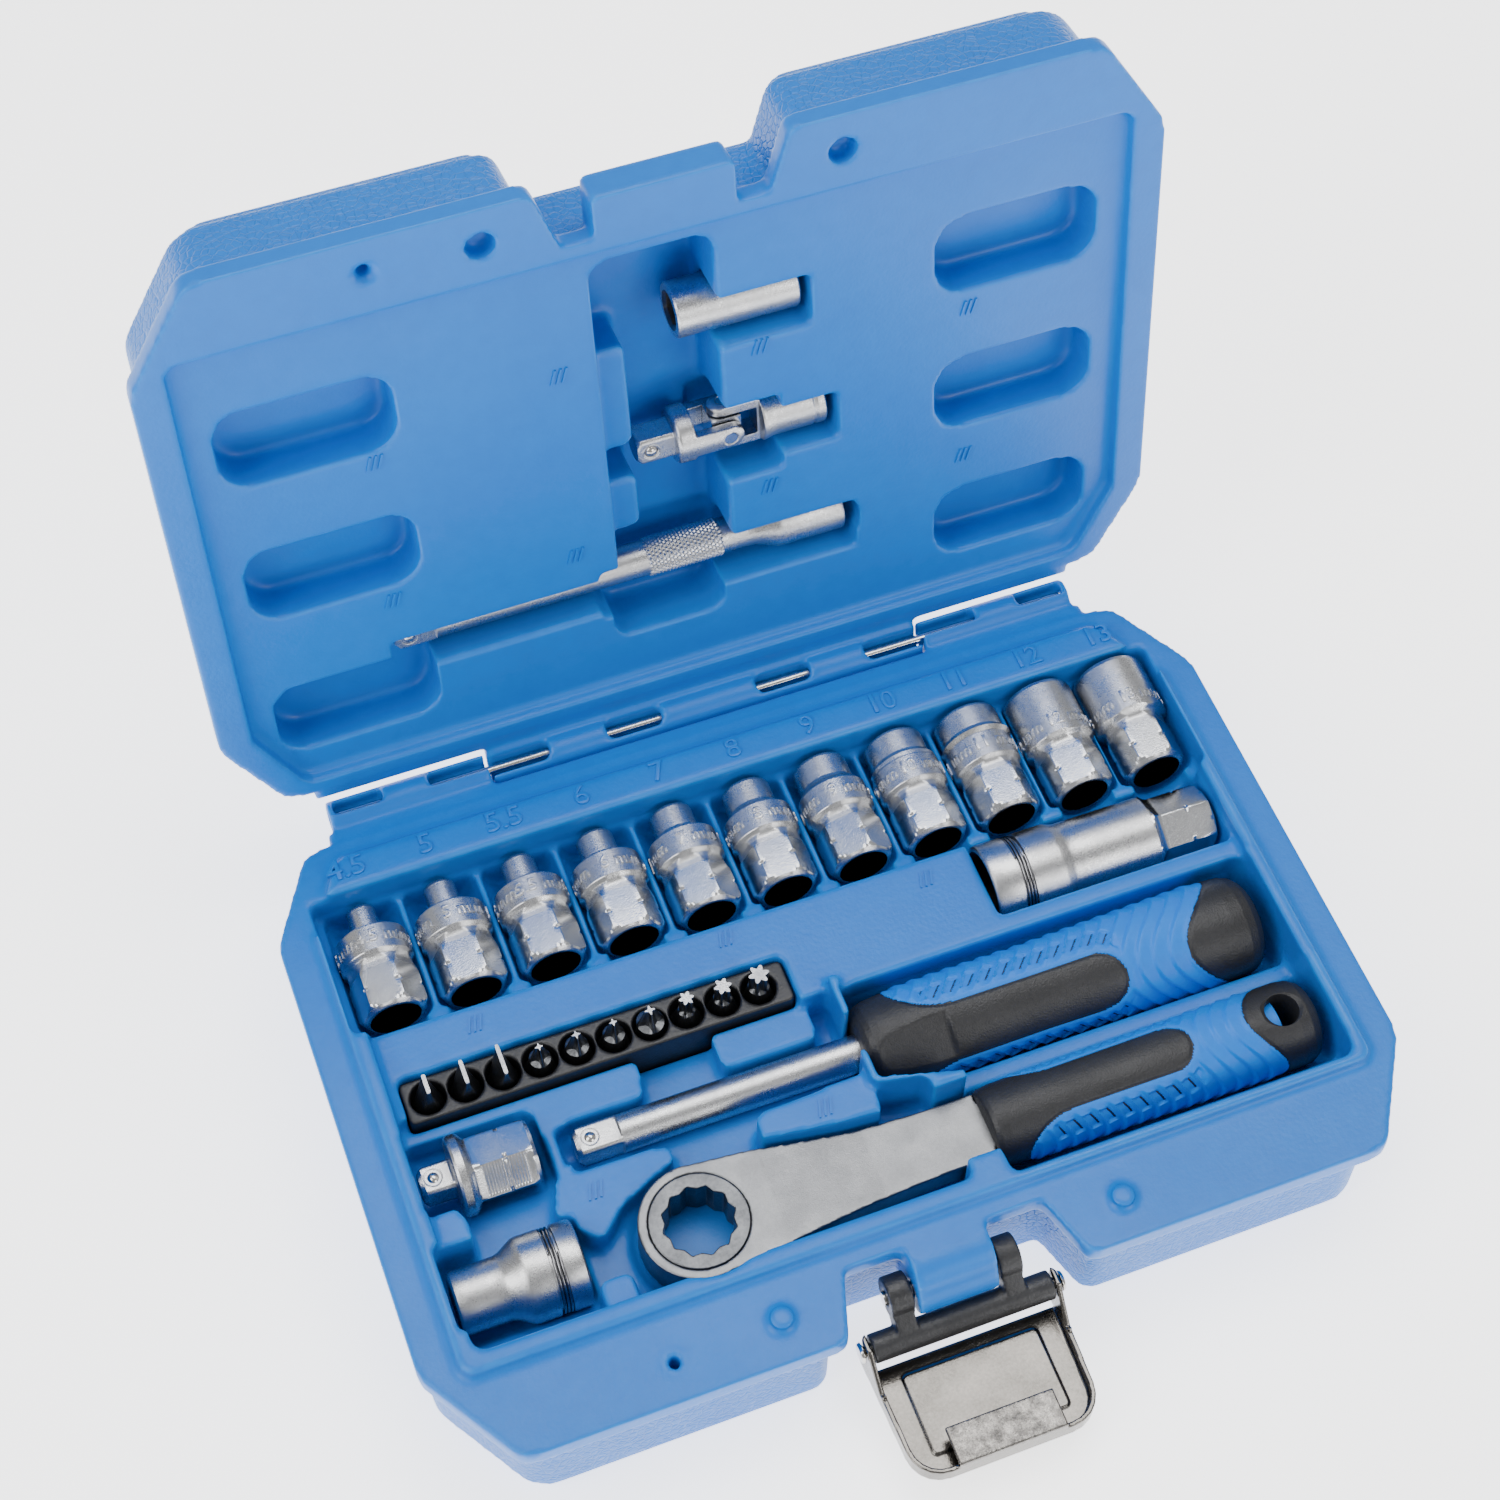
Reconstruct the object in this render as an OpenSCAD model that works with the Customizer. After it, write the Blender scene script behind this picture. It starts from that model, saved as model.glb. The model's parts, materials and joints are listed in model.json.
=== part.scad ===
// Pass-through socket wrench set in a hinged blow-moulded case.
// Origin: centre of the base's underside. X runs along the hinge, -Y is the latch side, +Z is up.
// The lid is drawn at its resting angle, leaning on its stop, and the latch hangs open.

/* [Case] */
// Width of the case along the hinge
case_w = 210; // [208:1:230]
// Depth of the rim from the hinge side to the latch side
case_d = 141; // [141:1:150]
// Height of the base from its underside to the rim
base_h = 30; // [30:0.5:36]
// Height of the lid from its rim to its top
lid_h = 23; // [23:0.5:28]
// Angle at which the lid leans on its stop, measured from closed
lid_open = 99; // [95:1:115]
// Thickness of the flange around both rims
flange_t = 5; // [4:0.5:7]
// How far the walls stand in from the flange
wall_inset = 2.5; // [1.5:0.5:4]
// Height of the raised tray deck above the base rim
deck_rise = 2; // [1:0.5:2.5]
// Depth of the panel in the lid that takes the raised deck
panel_sink = 3; // [2.5:0.5:4]

/* [Hinge and latch] */
// Diameter of the hinge rod
rod_d = 2.2; // [2:0.1:2.6]
// Outer diameter of the hinge knuckles
knuckle_d = 7.6; // [7:0.1:8.4]
// Length of the hinge rod
rod_l = 171; // [166:1:176]
// Width of the latch plate
plate_w = 42; // [38:1:44]
// Length of the latch plate from its rivets to its hook
plate_l = 27; // [24:0.5:28]
// Distance between the latch link's two axes
link_l = 9; // [8.5:0.5:10]

/* [Sockets] */
// Distance between neighbouring sockets
socket_pitch = 17.4; // [17.2:0.1:18]
// Length of every socket
socket_l = 27; // [25:0.5:28]
// Outer diameter of the common socket body
socket_d = 15.6; // [15.2:0.1:16]
// Width across the flats of the outer driving hex
hex_af = 13; // [12.6:0.1:13]
// Radius of the hole right through a socket
pass_r = 5.2; // [4.6:0.1:5.4]

/* [Drives and bits] */
// Width across the flats of the square drives
square = 6.35; // [6.3:0.01:6.4]
// Width across the flats of the bit shanks
bit_af = 6.35; // [6.3:0.01:6.4]
// Length of every bit
bit_l = 25; // [24:0.5:25.5]
// Distance between neighbouring bits
bit_pitch = 7.95; // [7.9:0.05:8.1]

/* [Wrench] */
// Outer radius of the ratchet head
head_r = 12.3; // [12:0.1:12.6]
// Thickness of the ratchet head
head_t = 9; // [8:0.5:10]
// Number of teeth on the ratchet ring
teeth = 36; // [24:12:48]

/* [Hidden] */
sizes = [4.5, 5, 5.5, 6, 7, 8, 9, 10, 11, 12, 13];   // nut sizes of the row of sockets
socket_names = ["socket_4p5", "socket_5", "socket_5p5", "socket_6", "socket_7", "socket_8",
    "socket_9", "socket_10", "socket_11", "socket_12", "socket_13"];
bit_names = ["bit_slot_1", "bit_slot_2", "bit_slot_3", "bit_cross_1", "bit_cross_2", "bit_cross_3",
    "bit_cross_4", "bit_star_1", "bit_star_2", "bit_star_3"];
bit_count = len(bit_names);

$fn = 48;
blue = "#1288d8";
black = "#232426";
steel = "#b9bcc0";
rest_gap = 0.3;          // every tool lies this far from its seat
fit_gap = 0.05;          // radial play of a turning fit
press_gap = 0.01;        // radial gap of a pressed-in pin
eps = 0.5;               // overlap of shapes that are cut from or joined to one another

// Places on the case
half_w = case_w / 2;
half_d = case_d / 2;
hinge_y = half_d + 7.5;
hinge_z = base_h - 1.9;
notch_y = -half_d + 14;  // bottom of the latch notch
deck_z = base_h + deck_rise;
middle_z = base_h - 2;   // lower deck between the sockets and the bits
ledge_z = base_h - 6;    // tops of the ledges in front of the bits
deck_w = half_w - 7.8;
deck_back = half_d - 4.2;
deck_front = -half_d + 18.3;
pin_y = notch_y - 5;
pin_z = base_h - 9;
bar_y = pin_y - link_l * cos(42);
bar_z = pin_z - link_l * sin(42);

// Heights of the tools' axes below the rim
socket_z = base_h - 6.3;
adapter_z = base_h - 7;
long_z = base_h - 8;
spinner_z = base_h - 9.2;
wrench_z = base_h - 8;
strip_top = base_h - 3.4;
bit_z = base_h + panel_sink - 0.4 - bit_l;   // the tips just clear the lid's panel
strip_h = strip_top - bit_z + 1.4;
lid_axis = 11;           // depth of the lid tools' axes below the lid's rim

// Places of the tools, measured from the case's middle
socket_y = 29.7;         // driving end of the sockets
trough_front = 25;       // front of the sockets' trough
strip_y = 8.7;
spinner_y = -9.8;
wrench_y = -35.6;
head_x = -43.5;
square_y = -8.3;
round_y = -33.6;
long_y = 16.6;
holder_y = -25;
lid_shift = -1.8;        // the lid's tools are drawn this far to the right of their place
joint_y = 8.3;
extension_y = 41;
joint_x = 13.5;          // crossing of the universal joint's two axes

// ---- outlines -------------------------------------------------------------------------------

function unit(v) = v / norm(v);

// Points of the arc that rounds corner b, between a and c, to radius r
function corner(a, b, c, r, n = 5) =
    let (u = unit(a - b), v = unit(c - b), half = acos(u * v) / 2, mid = b + unit(u + v) * r / sin(half),
        start = b + u * r / tan(half), stop = b + v * r / tan(half),
        a0 = atan2(start.y - mid.y, start.x - mid.x), a1 = atan2(stop.y - mid.y, stop.x - mid.x),
        turn = a1 - a0 > 180 ? a1 - a0 - 360 : a1 - a0 < -180 ? a1 - a0 + 360 : a1 - a0)
    [for (k = [0:n]) mid + r * [cos(a0 + turn * k / n), sin(a0 + turn * k / n)]];

// A closed outline from [x, y, radius] points
function rounded(p) =
    let (n = len(p))
    [for (i = [0:n - 1])
        let (b = [p[i].x, p[i].y], a = p[(i + n - 1) % n], c = p[(i + 1) % n])
        each p[i].z > 0 ? corner([a.x, a.y], b, [c.x, c.y], p[i].z) : [b]];

module slab(points, z0, z1) {
    translate([0, 0, z0]) linear_extrude(z1 - z0) polygon(rounded(points));
}

function box_points(x0, x1, y0, y1, r) = [[x0, y0, r], [x1, y0, r], [x1, y1, r], [x0, y1, r]];

module rounded_box(x0, x1, y0, y1, z0, z1, r) {
    slab(box_points(x0, x1, y0, y1, r), z0, z1);
}

// Rim outline shared by the base and the lid, drawn in by s, with the latch notch in front
function case_points(s, r) =
    let (w = half_w - s, d = half_d - s, m = 25.5 + s, b = 21 + s)
    [[w, d - 19.5, r], [w - 11, d, r], [-w + 11, d, r], [-w, d - 19.5, r], [-w, -d + 22, r],
        [-w + 13.8, -d, r], [-m, -d, r / 2], [-b, notch_y + s, 1.5], [b, notch_y + s, 1.5], [m, -d, r / 2],
        [w - 13.8, -d, r], [w, -d + 22, r]];

// Outline of the raised deck; the lid's panel is the same shape drawn out by s
function deck_points(s) =
    let (w = deck_w + s, b = deck_back + s, f = deck_front - s)
    [[w, b - 17, 4], [w - 9, b, 4], [-w + 9, b, 4], [-w, b - 17, 4], [-w, f, 3], [w, f, 3]];

// ---- shared round shapes --------------------------------------------------------------------

// A turned part along +X from [position, radius] pairs
module turned_x(profile) {
    rotate([0, 90, 0]) rotate_extrude()
        polygon([[0, profile[0].x], for (p = profile) [p.y, p.x], [0, profile[len(profile) - 1].x]]);
}

module cylinder_x(x0, x1, r) {
    translate([x0, 0, 0]) rotate([0, 90, 0]) cylinder(h = x1 - x0, r = r);
}

module cylinder_y(y0, y1, r) {
    translate([0, y0, 0]) rotate([-90, 0, 0]) cylinder(h = y1 - y0, r = r);
}

// A hexagonal prism along +X with width af across the flats
module hex_x(x0, x1, af) {
    translate([x0, 0, 0]) rotate([0, 90, 0]) cylinder(h = x1 - x0, r = af / sqrt(3), $fn = 6);
}

// A groove round a driving hex that only reaches its corners
module corner_nicks(x) {
    translate([x, 0, 0]) rotate([0, 90, 0]) rotate_extrude()
        translate([hex_af / 2 + 0.45, 0]) square([3, 0.9]);
}

// A square drive along +X with its long edges turned down and a seat for its ball
module square_drive(x0, x1, ball_x) {
    difference() {
        intersection() {
            translate([x0, -square / 2, -square / 2]) cube([x1 - x0, square, square]);
            turned_x([[x0, 3.2], [x0 + 0.9, 4.1], [x1, 4.1]]);
        }
        translate([ball_x, 0, square / 2 - 0.9]) sphere(r = 1.5 + fit_gap);
    }
}

module drive_ball(ball_x) {
    translate([ball_x, 0, square / 2 - 0.9]) sphere(r = 1.5);
}

// Places what follows, drawn in closed-lid coordinates, at the lid's resting angle
module on_lid() {
    translate([0, hinge_y, hinge_z]) rotate([-lid_open, 0, 0]) translate([0, -hinge_y, -hinge_z]) children();
}

// Same, for a lid tool drawn along X on its own axis at distance y from the middle
module lid_tool(y) {
    on_lid() translate([lid_shift, y, base_h + lid_axis]) mirror([0, 0, 1]) children();
}

// ---- hinge ----------------------------------------------------------------------------------

hinge_split = 50.5;      // the lid's knuckle ends here and the base's begin
hinge_end = rod_l / 2 + 1;
base_knuckles = [[-hinge_end, -hinge_split - 0.2], [hinge_split + 0.2, hinge_end]];
lid_knuckles = [[-hinge_split + 0.2, hinge_split - 0.2]];
// Stretches in which the rod lies open; each is mirrored to the other side
base_windows = [[hinge_split - 1, hinge_split + 13.5], [hinge_end - 12.2, hinge_end - 1.2]];
lid_windows = [[hinge_split - 13.5, hinge_split + 1], [11.2, 23.8]];

// A knuckle between x0 and x1, with a web to its shell; up is +1 on the lid and -1 on the base
module knuckle(x0, x1, up) {
    translate([0, hinge_y, hinge_z]) cylinder_x(x0, x1, knuckle_d / 2);
    web = 3.4;
    rim = base_h - hinge_z;
    low = up > 0 ? rim + 0.4 : -knuckle_d / 2 + 0.2;
    high = up > 0 ? knuckle_d / 2 + rim : rim - 0.4;
    translate([x0 + 0.1, half_d - web, hinge_z + low])
        cube([x1 - x0 - 0.2, hinge_y - half_d + web, high - low]);
}

// Edge of a flange, drawn out until it almost meets the knuckles
module hinge_edge(z0, z1) {
    depth = knuckle_d / 2 + 0.6;
    translate([-hinge_end - 1.5, half_d - 4, z0])
        cube([2 * hinge_end + 3, hinge_y - depth - half_d + 4, z1 - z0]);
}

module rod_bore() {
    translate([0, hinge_y, hinge_z]) cylinder_x(-half_w, half_w, rod_d / 2 + fit_gap);
}

// Opens knuckles from above, over y0 to y1 beside the rod's axis
module rod_windows(spans, y0, y1) {
    for (s = spans) for (side = [0, 1]) mirror([side, 0, 0])
        translate([s[0], hinge_y + y0, hinge_z - 1.6]) cube([s[1] - s[0], y1 - y0, 12]);
}

// Room for the other shell's knuckles
module knuckle_room(spans) {
    for (s = spans) translate([0, hinge_y, hinge_z]) cylinder_x(s[0] - 0.3, s[1] + 0.3, knuckle_d / 2 + 0.4);
}

// ---- base -----------------------------------------------------------------------------------

// Seats of the sockets, each with a shoulder in front that stops its socket
module socket_row_cut() {
    last = len(sizes) - 1;
    back = socket_y + socket_l + 0.6;
    translate([-last / 2 * socket_pitch - 9.4, trough_front, socket_z])
        cube([last * socket_pitch + 18.8, back + 0.6 - trough_front, base_h]);
    for (i = [0:last]) translate([socket_x(i), 0, socket_z]) {
        lift = i % 2 == 0 ? 0.2 : 0;
        cylinder_y(socket_y - 0.4 - lift, back, body_d(i) / 2 + rest_gap);
        cylinder_y(trough_front + 0.3 + lift, socket_y, socket_d / 2 - 1.6);
    }
}

module strip_cut() {
    x0 = bit_x(0) - 5 - rest_gap;
    x1 = bit_x(bit_count - 1) + 6.5 + rest_gap;
    rounded_box(x0, x1, strip_y - 4.8 - rest_gap, strip_y + 4.8 + rest_gap,
        strip_top - strip_h - rest_gap, deck_z + eps, 1.5);
}

// A round-bottomed trough along X, open to the deck
module trough(x0, x1, y, z, r) {
    translate([0, y, z]) cylinder_x(x0, x1, r);
    translate([x0, y - r, z]) cube([x1 - x0, 2 * r, deck_z + eps - z]);
}

module adapter_cuts() {
    // square-drive adapter
    trough(-93.8, -68, square_y, adapter_z, 8.6 + rest_gap);
    // round adapter
    trough(-95, -66.4, round_y, adapter_z - 1, 9 + rest_gap);
    // long adapter
    trough(39.6, 94.2, long_y, long_z, 9.6 + rest_gap);
}

module spinner_cut() {
    trough(-64, 2, spinner_y, spinner_z, 4.4);
    trough(0.6, 94.2, spinner_y, spinner_z, 11.7);
}

module wrench_cut() {
    translate([head_x, wrench_y, wrench_z - head_t / 2 - 1.2]) cylinder(h = base_h, r = head_r + 1.6);
    translate([0, wrench_y, wrench_z - 5.6]) linear_extrude(base_h)
        polygon([for (p = arm_edge) [p.x, p.y + arm_gap], for (k = [len(arm_edge) - 1:-1:0])
            [arm_edge[k].x, -arm_edge[k].y - arm_gap]]);
    trough(17.6, 94.6, wrench_y, wrench_z, 10);
}

// Steps the deck down between the sockets and the bits
module middle_deck_cut() {
    slab([[-93.4, 3.8, 1], [1.4, 3.8, 0], [1.4, 0.6, 0], [94.6, 0.6, 2], [94.6, 33, 1], [-93.4, 33, 1]],
        middle_z, deck_z + eps);
}

// One well for both handles, above their seats
module handle_well() {
    slab([[3, 2.3, 1], [94.4, 2.3, 3], [94.4, -50, 3], [17.8, -50, 2], [17.8, -25.6, 1], [3, -21.6, 2]],
        spinner_z, deck_z + eps);
}

// The lower floor between the small tools, with the raised blocks that locate them left standing
module middle_floor_cut() {
    difference() {
        slab([[-93.5, -48, 3], [-93.5, 5, 0], [-1, 5, 0], [-1, -22, 2], [10, -24, 2], [10, -48, 2]],
            base_h - 12.5, deck_z + eps);
        // the deck's wall behind the bits
        translate([bit_x(bit_count - 1) + 6.9, 2.6, 0]) cube([20, 4, middle_z]);
        // ledges in front of the bit strip
        slab([[-94, 0.1, 1], [-67, 0.1, 2], [-66.4, -15, 0], [-62.6, -15, 1], [-61.6, -5, 1], [-44.4, -5, 2],
            [-43.3, 0, 2], [-43.3, 3.3, 1], [-94, 3.3, 0]], 0, ledge_z);
        slab([[-27, 3.3, 1], [-27, -5, 2], [-6, -5, 2], [-6, 3.3, 1]], 0, ledge_z);
        slab([[-26, -26, 2], [-0.8, -28, 1], [-0.6, -17.5, 2], [-25.5, -18.8, 2]], 0, base_h - 1.4);
        slab([[-62.8, -32.5, 3], [-69.6, -23, 2], [-67, -15.6, 2], [-43.5, -16.6, 2], [-43, -20.5, 2],
            [-56, -26, 5]], 0, ledge_z);
        slab([[-97, -29.5, 1], [-97, -12, 1], [-90.4, -12, 2], [-86.4, -20, 2], [-86.4, -25.5, 2]],
            0, base_h - 1.4);
        rounded_box(-66.6, -59.4, -50, -40.8, 0, base_h - 3, 2);
    }
}

// Tongue that carries the latch pin, rounded over at its front and underneath
module latch_tongue() {
    w = 8.5;
    over = 6;            // radius of its top edge
    translate([0, pin_y, pin_z]) cylinder_x(-w, w, 5.4);
    translate([0, pin_y + 2, base_h - over]) cylinder_x(-w, w, over);
    translate([-w, pin_y, pin_z - 5.4]) cube([2 * w, notch_y - pin_y + 6, base_h - over - pin_z + 5.4]);
    translate([-w, pin_y + 2, base_h - over - eps]) cube([2 * w, notch_y - pin_y + 4, over + eps]);
}

module base_shell() {
    color(blue) difference() {
        union() {
            slab(case_points(0, 5), base_h - flange_t, base_h);
            slab(case_points(wall_inset, 9), 3, base_h - flange_t + eps);
            slab(case_points(wall_inset + 1.6, 9), 0, 3.5);
            slab(deck_points(0), base_h - eps, deck_z);
            for (k = base_knuckles) knuckle(k[0], k[1], -1);
            hinge_edge(base_h - flange_t + 0.3, base_h - 0.2);
            latch_tongue();
            for (x = [-36.2, 36.2]) translate([x, -half_d + 8.6, base_h - eps])
                cylinder(h = 1.7 + eps, r = 2.4);
            translate([-58.4, -half_d + 7.9, base_h - eps]) cylinder(h = 0.4 + eps, r = 2.2);
        }
        translate([-58.4, -half_d + 7.9, base_h - 6]) cylinder(h = 8, r = 1.3);
        knuckle_room(lid_knuckles);
        rod_bore();
        rod_windows(base_windows, -1.5, 2.4);
        translate([0, pin_y, pin_z]) cylinder_x(-9, 9, 1.5);
        socket_row_cut();
        strip_cut();
        adapter_cuts();
        spinner_cut();
        wrench_cut();
        handle_well();
        middle_deck_cut();
        middle_floor_cut();
    }
}

// ---- lid (drawn closed, then opened) ----------------------------------------------------------

module lid_pocket(x, y) {
    rounded_box(x - 17.6, x + 17.6, y - 9.5, y + 9.5, base_h - eps, base_h + 12, 6.4);
}

module lid_cuts() {
    top = base_h + panel_sink;
    // panel that takes the base's deck
    slab(deck_points(0.7), base_h - eps, top);
    for (y = [-26.4, 10.4]) lid_pocket(-74.2, y);
    for (y = [-25.8, 11.6, 49.2]) lid_pocket(74.4, y);
    lid_pocket(-74.6, 50);
    // deep middle recess, with the ledges beside the universal joint's drive left standing
    difference() {
        rounded_box(-15.4, 9.8, -48.2, 46, base_h - eps, base_h + lid_axis + 7.6, 4);
        rounded_box(-16, -8.7, -22.8, joint_y - 4.4, base_h + 7, base_h + 20, 2);
        rounded_box(-16, -8.7, joint_y + 4.4, 27, base_h + 7, base_h + 20, 2);
    }
    // bit holder
    lid_trough(2, 31.6, holder_y, 6.3);
    // universal joint: room to swing round its forks, a snug seat round its socket end
    lid_trough(8, 24, joint_y, 10);
    lid_trough(23, 36.6, joint_y, 5.8 + rest_gap);
    // extension bar
    lid_trough(-64, 40, extension_y, 4.8);
    lid_trough(-18, 40, extension_y, 6.6);
    rounded_box(-17.5, 7.4, 40, 54.4, base_h - eps, base_h + lid_axis + 5.2, 4);
    rounded_box(-16, 39, extension_y - 6.4, extension_y + 3, base_h - eps, base_h + lid_axis - 1, 3);
    // locating pegs and vent ring of the base
    for (x = [-36.2, 36.2]) translate([x, -half_d + 8.6, base_h - eps]) cylinder(h = 4 + eps, r = 2.9);
    translate([-58.4, -half_d + 7.9, base_h - eps]) cylinder(h = 5, r = 1.4);
    translate([-58.4, -half_d + 7.9, base_h - eps]) cylinder(h = 1.0 + eps, r = 2.6);
}

module lid_trough(x0, x1, y, r) {
    translate([lid_shift, y, base_h + lid_axis]) cylinder_x(x0, x1, r);
    translate([x0 + lid_shift, y - r, base_h - eps]) cube([x1 - x0, 2 * r, lid_axis + eps]);
}

module lid_shell() {
    color(blue) difference() {
        on_lid() closed_lid();
        rod_windows(lid_windows, -2.4, 1.5);
    }
}

module closed_lid() {
    difference() {
        union() {
            slab(case_points(0, 5), base_h, base_h + flange_t);
            slab(case_points(wall_inset, 9), base_h + flange_t - eps, base_h + lid_h - 3);
            slab(case_points(wall_inset + 1.6, 9), base_h + lid_h - 3.5, base_h + lid_h);
            for (k = lid_knuckles) knuckle(k[0], k[1], 1);
            hinge_edge(base_h + 0.2, base_h + flange_t - 0.3);
            // tongue with a lip that the latch's hook pulls on
            difference() {
                rounded_box(-14.4, 14.4, notch_y - 9.8, notch_y + 5, base_h, base_h + 8, 1.2);
                translate([-13, notch_y - 7, base_h + 1]) cube([26, 3.6, 9]);
            }
        }
        lid_cuts();
        knuckle_room(base_knuckles);
        rod_bore();
    }
}

module hinge_rod() {
    color(steel) translate([0, hinge_y, hinge_z]) cylinder_x(-rod_l / 2, rod_l / 2, rod_d / 2);
}

// ---- latch ----------------------------------------------------------------------------------

module latch_pin() {
    color(steel) translate([0, pin_y, pin_z]) cylinder_x(-14.6, 14.6, 1.5 - fit_gap);
}

// Two curved arms on the pin, joined by a bar that carries the plate
module latch_link() {
    color(black) difference() {
        union() {
            for (side = [-1, 1]) translate([side * 11.6 - 2.4, 0, 0]) {
                translate([0, pin_y, pin_z]) cylinder_x(0, 4.8, 4.2);
                translate([0, bar_y, bar_z]) rotate([-48, 0, 0])
                    translate([0.3, -2.6, -0.8]) cube([4.2, 5.4, link_l - 0.4]);
            }
            translate([0, bar_y, bar_z]) cylinder_x(-plate_w / 2 + 1.6, plate_w / 2 - 1.6, 3);
        }
        translate([0, pin_y, pin_z]) cylinder_x(-20, 20, 1.5);
        translate([0, bar_y, bar_z]) cylinder_x(-plate_w, -plate_w / 2 + 6, 1.2);
        translate([0, bar_y, bar_z]) cylinder_x(plate_w / 2 - 6, plate_w, 1.2);
    }
}

module latch_rivets() {
    color(steel) for (side = [-1, 1]) translate([0, bar_y, bar_z]) mirror([side < 0 ? 1 : 0, 0, 0])
        turned_x([[plate_w / 2 - 5.9, 1.2 - fit_gap], [plate_w / 2 + 0.2, 1.2 - fit_gap],
            [plate_w / 2 + 0.2, 2.2], [plate_w / 2 + 1, 1.9]]);
}

// Stamped dish on the link's bar: side flanges, a flat panel pressed into its face, and a hook at its end
module latch_plate() {
    t = 1;
    dish = 7;            // distance of the face below the bar
    face_z = bar_z - dish;
    end_y = bar_y - plate_l;
    w = plate_w / 2;
    hook_w = 11.5;
    color(steel) difference() {
        union() {
            difference() {
                slab([[-w, bar_y + 2.6, 1.5], [w, bar_y + 2.6, 1.5], [w - 1.2, end_y, 7],
                    [-w + 1.2, end_y, 7]], face_z - t, bar_z + 2.6);
                slab([[-w + t, bar_y + 6, 1], [w - t, bar_y + 6, 1], [w - 1.2 - t, end_y + t, 6],
                    [-w + 1.2 + t, end_y + t, 6]], face_z, bar_z + 4);
                // the face stops short of the bar, and the flanges fall away towards the hook
                translate([-w + t, bar_y - 2, face_z - 2]) cube([2 * (w - t), 6, 6]);
                translate([-plate_w, end_y - 1, face_z + 3]) cube([2 * plate_w, plate_l - 8, 12]);
                translate([-plate_w, bar_y - 8, face_z + 3]) rotate([45, 0, 0]) cube([2 * plate_w, 12, 12]);
            }
            rounded_box(-14.5, 14.5, end_y + 5, bar_y - 5, face_z - eps, face_z + 0.4, 1);
            translate([-hook_w, end_y, face_z - eps]) cube([2 * hook_w, t, 5.4]);
            translate([-hook_w, end_y, face_z + 3.9]) cube([2 * hook_w, 8, t]);
        }
        translate([0, bar_y, bar_z]) cylinder_x(-plate_w, plate_w, 1.2);
    }
}

// ---- sockets ----------------------------------------------------------------------------------

function socket_x(i) = (i - (len(sizes) - 1) / 2) * socket_pitch + 0.6;
function body_d(i) = socket_d + max(0, sizes[i] - 11) * 0.6;
function nose_d(i) = min(sizes[i] * 1.32 + 0.4, body_d(i));

// One pass-through socket, nut end towards the hinge
module socket(i) {
    nose = nose_d(i) / 2;
    body = body_d(i) / 2;
    step = nose < body - 0.3;
    color(steel) translate([socket_x(i), socket_y, socket_z]) rotate([0, 0, 90]) difference() {
        union() {
            intersection() {
                hex_x(0, 10.5, hex_af);
                turned_x([[0, hex_af / 2 + 0.3], [0.8, hex_af / sqrt(3) + 0.1],
                    [10.5, hex_af / sqrt(3) + 0.1]]);
            }
            turned_x(concat([[10, hex_af / 2 - 0.2], [11.4, body - 0.5], [12, body]],
                step ? [[19, body], [20.4, min(nose + 0.7, body - 0.1)], [21.2, nose],
                    [socket_l - 0.4, nose], [socket_l, nose - 0.4]]
                    : [[socket_l - 0.6, body], [socket_l, body - 0.6]]));
        }
        // hole right through, down to the nut size at the nose
        cylinder_x(-1, socket_l - 8, pass_r);
        hex_x(socket_l - 9, socket_l + 1, sizes[i] + 0.1);
        // nicks across the corners of the driving hex
        corner_nicks(5.2);
    }
}

// ---- bits -------------------------------------------------------------------------------------

function bit_x(i) = (i - (bit_count - 1) / 2) * bit_pitch - 50;

module bit_strip() {
    color(black) difference() {
        rounded_box(bit_x(0) - 5, bit_x(bit_count - 1) + 6.5, strip_y - 4.8, strip_y + 4.8,
            strip_top - strip_h, strip_top, 1.2);
        for (i = [0:bit_count - 1]) translate([bit_x(i), strip_y, bit_z - 0.2])
            cylinder(h = 30, r = bit_af / sqrt(3) + fit_gap);
    }
}

// Tip shapes from z = 0 up to h
module slot_tip(w, h) {
    intersection() {
        translate([-0.5, -w / 2, 0]) cube([1, w, h]);
        cylinder(h = h, r = w / 2);
    }
}

module cross_tip(w, h) {
    intersection() {
        union() {
            translate([-w / 2, -0.5, 0]) cube([w, 1, h]);
            translate([-0.5, -w / 2, 0]) cube([1, w, h]);
        }
        cylinder(h = h, r1 = w / 2, r2 = w / 5);
    }
}

module star_tip(w, h) {
    for (a = [0, 60, 120]) rotate([0, 0, a]) translate([-w / 2, -w / 8, 0]) cube([w, w / 4, h]);
    cylinder(h = h, r = w * 0.36);
}

module bit(i) {
    shank = 17;
    neck = 20.5;
    w = [4.4, 5.5, 7, 4.2, 4.6, 4.2, 5.6, 3.2, 3.8, 4.4][i];
    color(black) translate([bit_x(i), strip_y, bit_z]) {
        intersection() {
            cylinder(h = shank, r = bit_af / sqrt(3), $fn = 6);
            rotate_extrude()
                polygon([[0, 0], [3.2, 0], [3.7, 0.7], [3.7, shank - 1.4], [2.6, shank], [0, shank]]);
        }
        translate([0, 0, shank - 0.1]) cylinder(h = neck - shank + 0.1, r1 = 2.6, r2 = min(w / 2 - 0.2, 2.2));
        translate([0, 0, neck - 0.1]) {
            if (i < 3) slot_tip(w, bit_l - neck + 0.1);
            else if (i < 7) cross_tip(w, bit_l - neck + 0.1);
            else star_tip(w, bit_l - neck + 0.1);
        }
    }
}

// ---- adapters ---------------------------------------------------------------------------------

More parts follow.
